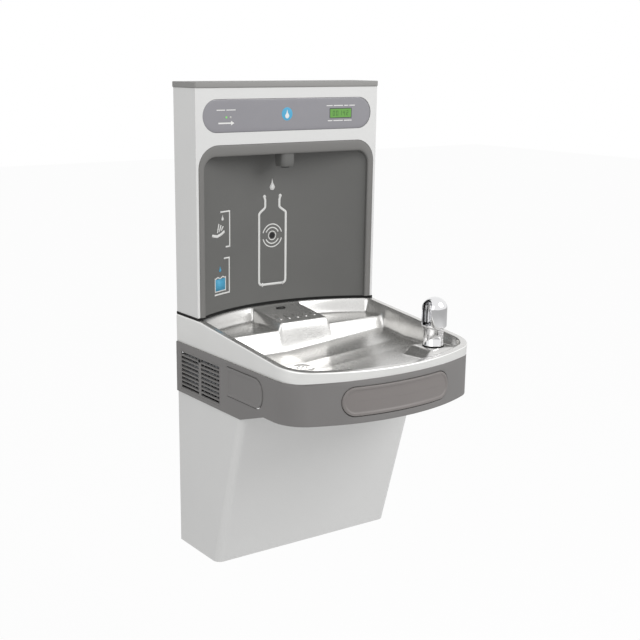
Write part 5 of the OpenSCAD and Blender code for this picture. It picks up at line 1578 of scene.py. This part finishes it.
@dataclass
class Prints:
    """Generic screen prints on the alcove's back: a bottle, a drop, rings and two small pictures."""

    lift: float = 0.25
    thick: float = 0.12
    sensor_z: float = 282.0
    pieces: list[bpy.types.Object] = field(default_factory=list)

    def stroke(self, name: str, line: Sequence[Point2], width: float, finish: Finish) -> bpy.types.Object:
        """A printed line of even width that follows the curved back.

        Args:
            name: The piece's name.
            line: Points across and up.
            width: Line width.
            finish: Its ink.

        Returns:
            The print, a tenth of a millimetre thick.
        """
        path = [np.array(p, float) for p in line]
        fine = [path[0]]
        for a, b in zip(path, path[1:]):
            n = max(1, int(np.hypot(*(b - a)) / 4))
            fine += [mix(a, b, (k + 1) / n) for k in range(n)]
        points, faces = [], []
        last = len(fine) - 1
        for k, p in enumerate(fine):
            d1, d2 = p - fine[max(0, k - 1)], fine[min(last, k + 1)] - p
            d1 = d1 / max(1e-9, np.hypot(*d1)) if k else d2 / np.hypot(*d2)
            d2 = d2 / max(1e-9, np.hypot(*d2)) if k < last else d1
            d = d1 + d2
            d = d / max(1e-9, np.hypot(*d))
            grow = width / 2 / max(0.5, float(d @ d1))
            side = np.array([-d[1], d[0]]) * grow
            for q in (p + side, p - side):
                points.append((q[0], float(ARC.y(q[0])) - self.lift, q[1]))
        for k in range(last):
            faces.append([2 * k, 2 * k + 1, 2 * k + 3, 2 * k + 2])
        return self.printed(name, points, faces, finish)

    def patch(self, name: str, outline: Sequence[Point2], finish: Finish) -> bpy.types.Object:
        """A printed area that is narrow enough to lie flat on the curve."""
        points = [(x, float(ARC.y(x)) - self.lift, z) for x, z in outline]
        return self.printed(name, points, [list(range(len(points)))], finish)

    def printed(self, name: str, points: Loop, faces: list[list[int]], finish: Finish) -> bpy.types.Object:
        """Gives a print its thickness and keeps it with the others.

        Args:
            name: The piece's name.
            points: Its points.
            faces: Its faces.
            finish: Its ink.

        Returns:
            The print.
        """
        ink = piece(name, points, faces, finish)
        body = ink.modifiers.new("ink", "SOLIDIFY")
        body.thickness, body.offset = self.thick * MM, 0.0
        bake(ink)
        self.pieces.append(ink)
        return ink

    @staticmethod
    def circle(
        x: float, z: float, r: float, start: float = 0.0, end: float = 360.0, steps: int = 48
    ) -> list[Point2]:
        """Points of an arc.

        Args:
            x: Its centre across.
            z: Its centre's height.
            r: Its radius.
            start: Where it starts, in degrees anticlockwise.
            end: Where it ends.
            steps: Number of points.

        Returns:
            Points across and up.
        """
        turns = np.radians(np.linspace(start, end, steps))
        return [(x + r * math.cos(a), z + r * math.sin(a)) for a in turns]

    @staticmethod
    def drop(x: float, z: float, w: float, h: float) -> list[Point2]:
        """Outline of a water drop, its point up.

        Args:
            x: Its middle across.
            z: Its middle height.
            w: Its width.
            h: Its height.

        Returns:
            Points across and up.
        """
        r = w / 2
        low = Prints.circle(x, z - h / 2 + r, r, 160, 380, 22)
        return low + [(x + 0.35 * r, z + h * 0.12), (x, z + h / 2), (x - 0.35 * r, z + h * 0.12)]

    def bottle(self) -> None:
        """Bottle outline with rounded shoulders and foot."""
        foot, shoulder, neck, top = 174.0, 330.0, 346.0, 368.0
        half, throat = 35.0, 18.5
        right = [(0.0, foot), (half - 8, foot)] + self.circle(half - 8, foot + 8, 8, -90, 0, 8)
        right += [(half, shoulder)] + [
            (mix(half, throat, ease(t)), mix(shoulder, neck, t)) for t in np.linspace(0.1, 1, 10)
        ]
        right += [(throat, top - 8), (throat + 1.5, top - 3), (throat + 2.0, top)]
        outline = [(float(x), float(z)) for x, z in right]
        self.stroke("print_bottle", [(-x, z) for x, z in outline[:0:-1]] + outline, 5.4, WHITE_INK)
        for side in (-1, 1):
            lip = self.circle(side * (throat + 2.0), top, 4.0, 0, 345, 24)
            self.patch(f"print_bottle_lip_{side + 1}", lip, WHITE_INK)
        self.patch("print_drop", self.drop(0.0, 394.0, 13.0, 26.0), WHITE_INK)

    def rings(self) -> None:
        """Broken rings round the sensor."""
        for name, r, gaps in (("outer", 25.0, (15, 165, 195, 345)), ("inner", 17.5, (25, 155, 205, 335))):
            for part, start, end in (("top", *gaps[:2]), ("low", *gaps[2:])):
                arc = self.circle(0, self.sensor_z, r, start, end)
                self.stroke(f"print_ring_{name}_{part}", arc, 2.6, WHITE_INK)
        self.stroke("print_ring_rim", self.circle(0, self.sensor_z, 9.5), 2.0, WHITE_INK)

    def pictures(self) -> None:
        """Two small generic pictures beside brackets: a hand under a drop, and a drop above a cup."""
        self.stroke("print_panel_one", [(-150, 346), (-121, 346), (-121, 271), (-134, 271)], 3.4, WHITE_INK)
        self.stroke("print_palm", [(-178, 300), (-160, 296), (-146, 300), (-137, 305)], 6.0, WHITE_INK)
        for k in range(3):
            finger = [(-160 + 6 * k, 303 + 2 * k), (-155 + 7 * k, 322 - 3 * k)]
            self.stroke(f"print_finger_{k}", finger, 3.6, WHITE_INK)
        self.patch("print_drop_one", self.drop(-143.0, 334.0, 7.0, 13.0), WHITE_INK)
        self.stroke("print_panel_two", [(-140, 247), (-123, 247), (-123, 172), (-171, 172)], 3.4, WHITE_INK)
        self.patch("print_cup", [(-168, 180), (-136, 180), (-136, 205), (-168, 205)], BLUE_INK)
        self.stroke("print_cup_rim", [(-169, 208), (-169, 179), (-135, 179), (-135, 208)], 2.8, WHITE_INK)
        wave = [(-168, 206), (-160, 209), (-152, 205), (-144, 209), (-136, 206)]
        self.stroke("print_wave", wave, 2.6, WHITE_INK)
        self.patch("print_drop_two", self.drop(-152.0, 226.0, 7.0, 13.0), BLUE_INK)

    def build(self) -> list[bpy.types.Object]:
        """Builds every print as one piece."""
        self.bottle()
        self.rings()
        self.pictures()
        return [join("alcove_prints", self.pieces)]


@dataclass
class Display:
    """Pill-shaped window with the lit counter, two lamps and generic marks."""

    width: float = 426.0
    height: float = 66.0
    face: float = -87.0
    counter: tuple[float, float, float, float] = (104.0, 160.0, 536.0, 554.0)
    badge_place: Point2 = (-8.0, 546.0)
    lamp_z: float = 542.0
    ink: float = 0.12
    digit_w: float = 5.2
    digit_h: float = 10.0
    digit_pitch: float = 9.0
    stroke: float = 1.1

    def lens(self) -> bpy.types.Object:
        """Window with a rounded edge, sunk a millimetre in the shell."""
        steps = [(0.0, 3.0), (0.0, 0.9), (0.3, 0.4), (0.9, 0.1), (1.8, 0.0), (8.0, 0.0), (20.0, 0.0)]
        loops = [
            [(x, self.face + back, LEVELS.pill + z) for x, z in stadium(self.width, self.height, inset, 48)]
            for inset, back in steps
        ]
        lens = piece("display_window", *skin(loops), WINDOW, sharp=50)
        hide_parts("display_lens")
        return lens

    def bar(
        self, name: str, x0: float, x1: float, z0: float, z1: float, finish: Finish, proud: float = 0.12
    ) -> bpy.types.Object:
        """A flat printed bar on the window.

        Args:
            name: The piece's name.
            x0: Its left edge.
            x1: Its right edge.
            z0: Its foot.
            z1: Its top.
            finish: Its ink.
            proud: How far it stands off the window.

        Returns:
            The bar.
        """
        return piece(name, *block((x0, self.face - proud, z0), (x1, self.face + 0.4, z1)), finish)

    def digit(self, index: int, x: float, z: float, value: int) -> list[bpy.types.Object]:
        """Seven-segment numeral 10 mm high.

        Args:
            index: Its place in the counter.
            x: Its left edge.
            z: Its foot.
            value: The numeral.

        Returns:
            Its lit segments.
        """
        lit = "abcdef bc abged abgcd fgbc afgcd afgedc abc abcdefg abcdfg".split()[value]
        w, h, t = self.digit_w, self.digit_h, self.stroke
        m = h / 2
        places = {
            "a": (0, h - t, w, h), "g": (0, m - t / 2, w, m + t / 2), "d": (0, 0, w, t),
            "f": (0, m, t, h), "b": (w - t, m, w, h), "e": (0, 0, t, m), "c": (w - t, 0, w, m),
        }
        parts = []
        for s in lit:
            x0, z0, x1, z1 = places[s]
            edges = (x + x0 + 0.15, x + x1 - 0.15, z + z0 + 0.1, z + z1 - 0.1)
            parts.append(self.bar(f"segment_{index}_{s}", *edges, DIGIT, 0.34))
        return parts

    def marks(self) -> bpy.types.Object:
        """Counter, its numerals and plain pale bars."""
        x0, x1, z0, z1 = self.counter
        parts = [
            self.bar("counter_frame", x0 - 1.6, x1 + 1.6, z0 - 1.6, z1 + 1.6, DARK_INK, 0.14),
            self.bar("counter_film", x0, x1, z0, z1, PANEL_GREEN, 0.26),
        ]
        for k, value in enumerate((0, 0, 1, 4, 2)):
            parts += self.digit(k, x0 + 7 + k * self.digit_pitch, z0 + 4, value)
        rows = (
            (94, 561, ((0, 16), (19, 44), (47, 58), (61, 76))),
            (98, 529.5, ((0, 12), (15, 40), (43, 64))),
            (-180, 556.5, ((0, 20), (23, 45))),
        )
        for n, (start, z, spans) in enumerate(rows):
            for k, (a, b) in enumerate(spans):
                parts.append(self.bar(f"mark_{n}_{k}", start + a, start + b, z - 0.9, z + 0.9, WHITE_INK))
        arrow = [(-176, 529), (-146, 529), (-146, 526), (-138, 530.5), (-146, 535), (-146, 532), (-176, 532)]
        loops = [[(x, y, z) for x, z in arrow] for y in (self.face + 0.4, self.face - self.ink)]
        parts.append(piece("mark_arrow", *skin(loops), WHITE_INK))
        return join("display_marks", parts)

    def badge(self) -> bpy.types.Object:
        """Plain round badge with a drop."""
        x, z = self.badge_place
        profile = [(0, 0.3), (13.5, 0.3), (13.5, -0.05), (13.2, -0.15), (0, -0.15)]
        disc = piece("badge_disc", *turned(profile, (x, self.face, z), "y", 64), BLUE_INK)
        drop = [(a + x, b + z) for a, b in Prints.drop(0.0, 0.0, 10.0, 18.0)]
        loops = [[(a, y, b) for a, b in drop] for y in (self.face, self.face - 0.3)]
        mark = piece("badge_drop", *skin(loops), WHITE_INK)
        return join("display_badge", [disc, mark])

    def lamps(self) -> bpy.types.Object:
        """Two small domed lamp lenses, one lit."""
        profile = [(0.0, 0.3), (2.1, 0.3), (2.1, -0.2), (1.7, -0.6), (0.9, -0.85), (0.0, -0.9)]
        parts = []
        for name, x, finish in (("lit", -157.0, LAMP), ("unlit", -147.0, LAMP_OFF)):
            lens = turned(profile, (x, self.face, self.lamp_z), "y", 32)
            parts.append(piece(f"lamp_{name}", *lens, finish, sharp=60))
        return join("display_lamps", parts)

    def build(self) -> list[bpy.types.Object]:
        """Builds the display's pieces."""
        return [self.lens(), self.marks(), self.badge(), self.lamps()]


# Studio


@dataclass
class Studio:
    """Camera of the photograph's view, soft lights, pale floor and white surroundings."""

    place: Point3 = (-1.39902, -2.10778, 0.65516)
    right: Point3 = (0.828149, -0.560482, 0.005369)
    up: Point3 = (0.141657, 0.218556, 0.965488)
    focal_px: float = 1147.18
    principal: Point2 = (278.18, 369.11)
    frame_px: float = 640.0
    # Width of the sensor, in millimetres.
    sensor: float = 36.0
    # Where the lamps point, the floor's height and half its width, in metres.
    aim: Point3 = (0.0, -0.15, 0.1)
    floor_z: float = -0.86
    floor_half: float = 14.0
    # Share of the floor that the camera sees as pure white, and the surroundings' strength as a light.
    floor_white: float = 0.95
    soft: float = 0.55

    def camera(self) -> None:
        """Sets the camera that was fitted to the photograph."""
        lens = bpy.data.cameras.new("camera")
        lens.sensor_fit, lens.sensor_width = "HORIZONTAL", self.sensor
        lens.lens = self.focal_px * self.sensor / self.frame_px
        lens.shift_x = (self.frame_px / 2 - self.principal[0]) / self.frame_px
        lens.shift_y = (self.principal[1] - self.frame_px / 2) / self.frame_px
        lens.clip_start, lens.clip_end = 0.05, 60.0
        eye = bpy.data.objects.new("camera", lens)
        right, up = Vector(self.right).normalized(), Vector(self.up)
        back = right.cross(up).normalized()
        up = back.cross(right)
        turn = Matrix((right, up, back)).transposed().to_4x4()
        eye.matrix_world = Matrix.Translation(self.place) @ turn
        bpy.context.scene.collection.objects.link(eye)
        bpy.context.scene.camera = eye

    def lamp(self, name: str, place: Point3, size: float, power: float) -> None:
        """A square soft light that faces the station.

        Args:
            name: Its name.
            place: Its place, in metres.
            size: Length of its side, in metres.
            power: Its power, in watts.
        """
        light = bpy.data.lights.new(name, "AREA")
        light.energy, light.size, light.shape = power, size, "SQUARE"
        holder = bpy.data.objects.new(name, light)
        holder.location = place
        holder.rotation_mode = "QUATERNION"
        holder.rotation_quaternion = (Vector(self.aim) - Vector(place)).to_track_quat("-Z", "Y")
        bpy.context.scene.collection.objects.link(holder)

    def surroundings(self) -> None:
        """White to the eye and in mirrors, softer as a light."""
        world = bpy.data.worlds.new("surroundings")
        bpy.context.scene.world = world
        world.use_nodes = True
        tree = world.node_tree
        tree.nodes.clear()
        path = add(tree, "ShaderNodeLightPath").outputs
        rays = {0: path["Is Camera Ray"], 1: path["Is Glossy Ray"]}
        seen = add(tree, "ShaderNodeMath", rays, operation="MAXIMUM").outputs[0]
        rays = {0: seen, 1: path["Is Transmission Ray"]}
        seen = add(tree, "ShaderNodeMath", rays, operation="MAXIMUM").outputs[0]
        colour = (1.0, 1.0, 1.0, 1.0)
        white = add(tree, "ShaderNodeBackground", {"Color": colour, "Strength": 1.0})
        soft = add(tree, "ShaderNodeBackground", {"Color": colour, "Strength": self.soft})
        both = add(tree, "ShaderNodeMixShader", {0: seen, 1: soft.outputs[0], 2: white.outputs[0]})
        add(tree, "ShaderNodeOutputWorld", {"Surface": both.outputs[0]})

    def floor(self) -> None:
        """Pale floor that reads as white and keeps the station's shadow."""
        material = bpy.data.materials.new("studio_floor")
        material.use_nodes = True
        tree = material.node_tree
        tree.nodes.clear()
        path = add(tree, "ShaderNodeLightPath")
        matt = add(tree, "ShaderNodeBsdfDiffuse", {"Color": (0.9, 0.9, 0.9, 1.0)})
        white = add(tree, "ShaderNodeEmission", {"Color": (1.0, 1.0, 1.0, 1.0), "Strength": 1.0})
        rays = {0: path.outputs["Is Camera Ray"], 1: self.floor_white}
        share = add(tree, "ShaderNodeMath", rays, operation="MULTIPLY")
        looks = {0: share.outputs[0], 1: matt.outputs[0], 2: white.outputs[0]}
        both = add(tree, "ShaderNodeMixShader", looks)
        add(tree, "ShaderNodeOutputMaterial", {"Surface": both.outputs[0]})
        mesh = bpy.data.meshes.new("studio_floor")
        far = self.floor_half
        corners = [(x, y, self.floor_z) for x, y in ((-far, -far), (far, -far), (far, far), (-far, far))]
        mesh.from_pydata(corners, [], [(0, 1, 2, 3)])
        mesh.materials.append(material)
        ground = bpy.data.objects.new("studio_floor", mesh)
        bpy.context.scene.collection.objects.link(ground)

    def build(self) -> None:
        """Sets up the view, the lights and the surroundings."""
        self.camera()
        self.surroundings()
        self.floor()
        self.lamp("key", (1.3, -2.0, 1.7), 1.6, 34.0)
        self.lamp("fill", (-2.0, -1.2, 0.9), 1.8, 12.0)
        bpy.context.scene.view_settings.view_transform = "Standard"


# Station


def dress(nodes: dict[str, bpy.types.Object]) -> None:
    """Gives every CAD node its finish.

    Args:
        nodes: The frame's nodes by name.
    """
    for name, node in nodes.items():
        finish = CAD_FINISH[name].material()
        for slot in node.material_slots:
            slot.material = finish


def ride_all(pieces: Sequence[bpy.types.Object], body: str) -> None:
    """Hangs pieces on a body and reports each.

    Args:
        pieces: The pieces.
        body: The body's name.
    """
    for item in pieces:
        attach(item, body)
        LOG.info("%s rides on %s, %d faces", item.name, body, len(item.data.polygons))


def main() -> None:
    """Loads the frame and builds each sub-assembly in order."""
    logging.basicConfig(level=logging.INFO, format="%(name)s: %(message)s")
    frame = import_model()
    Studio().build()
    dress(frame["nodes"])
    ride_all(Basin().build(), "root")
    for body, pieces in Apron().build().items():
        ride_all(pieces, body)
    ride_all(Bubbler().build(), "root")
    ride_all(Tower().build(), "root")
    ride_all(Prints().build(), "root")
    ride_all(Display().build(), "root")


if __name__ == "__main__":
    main()
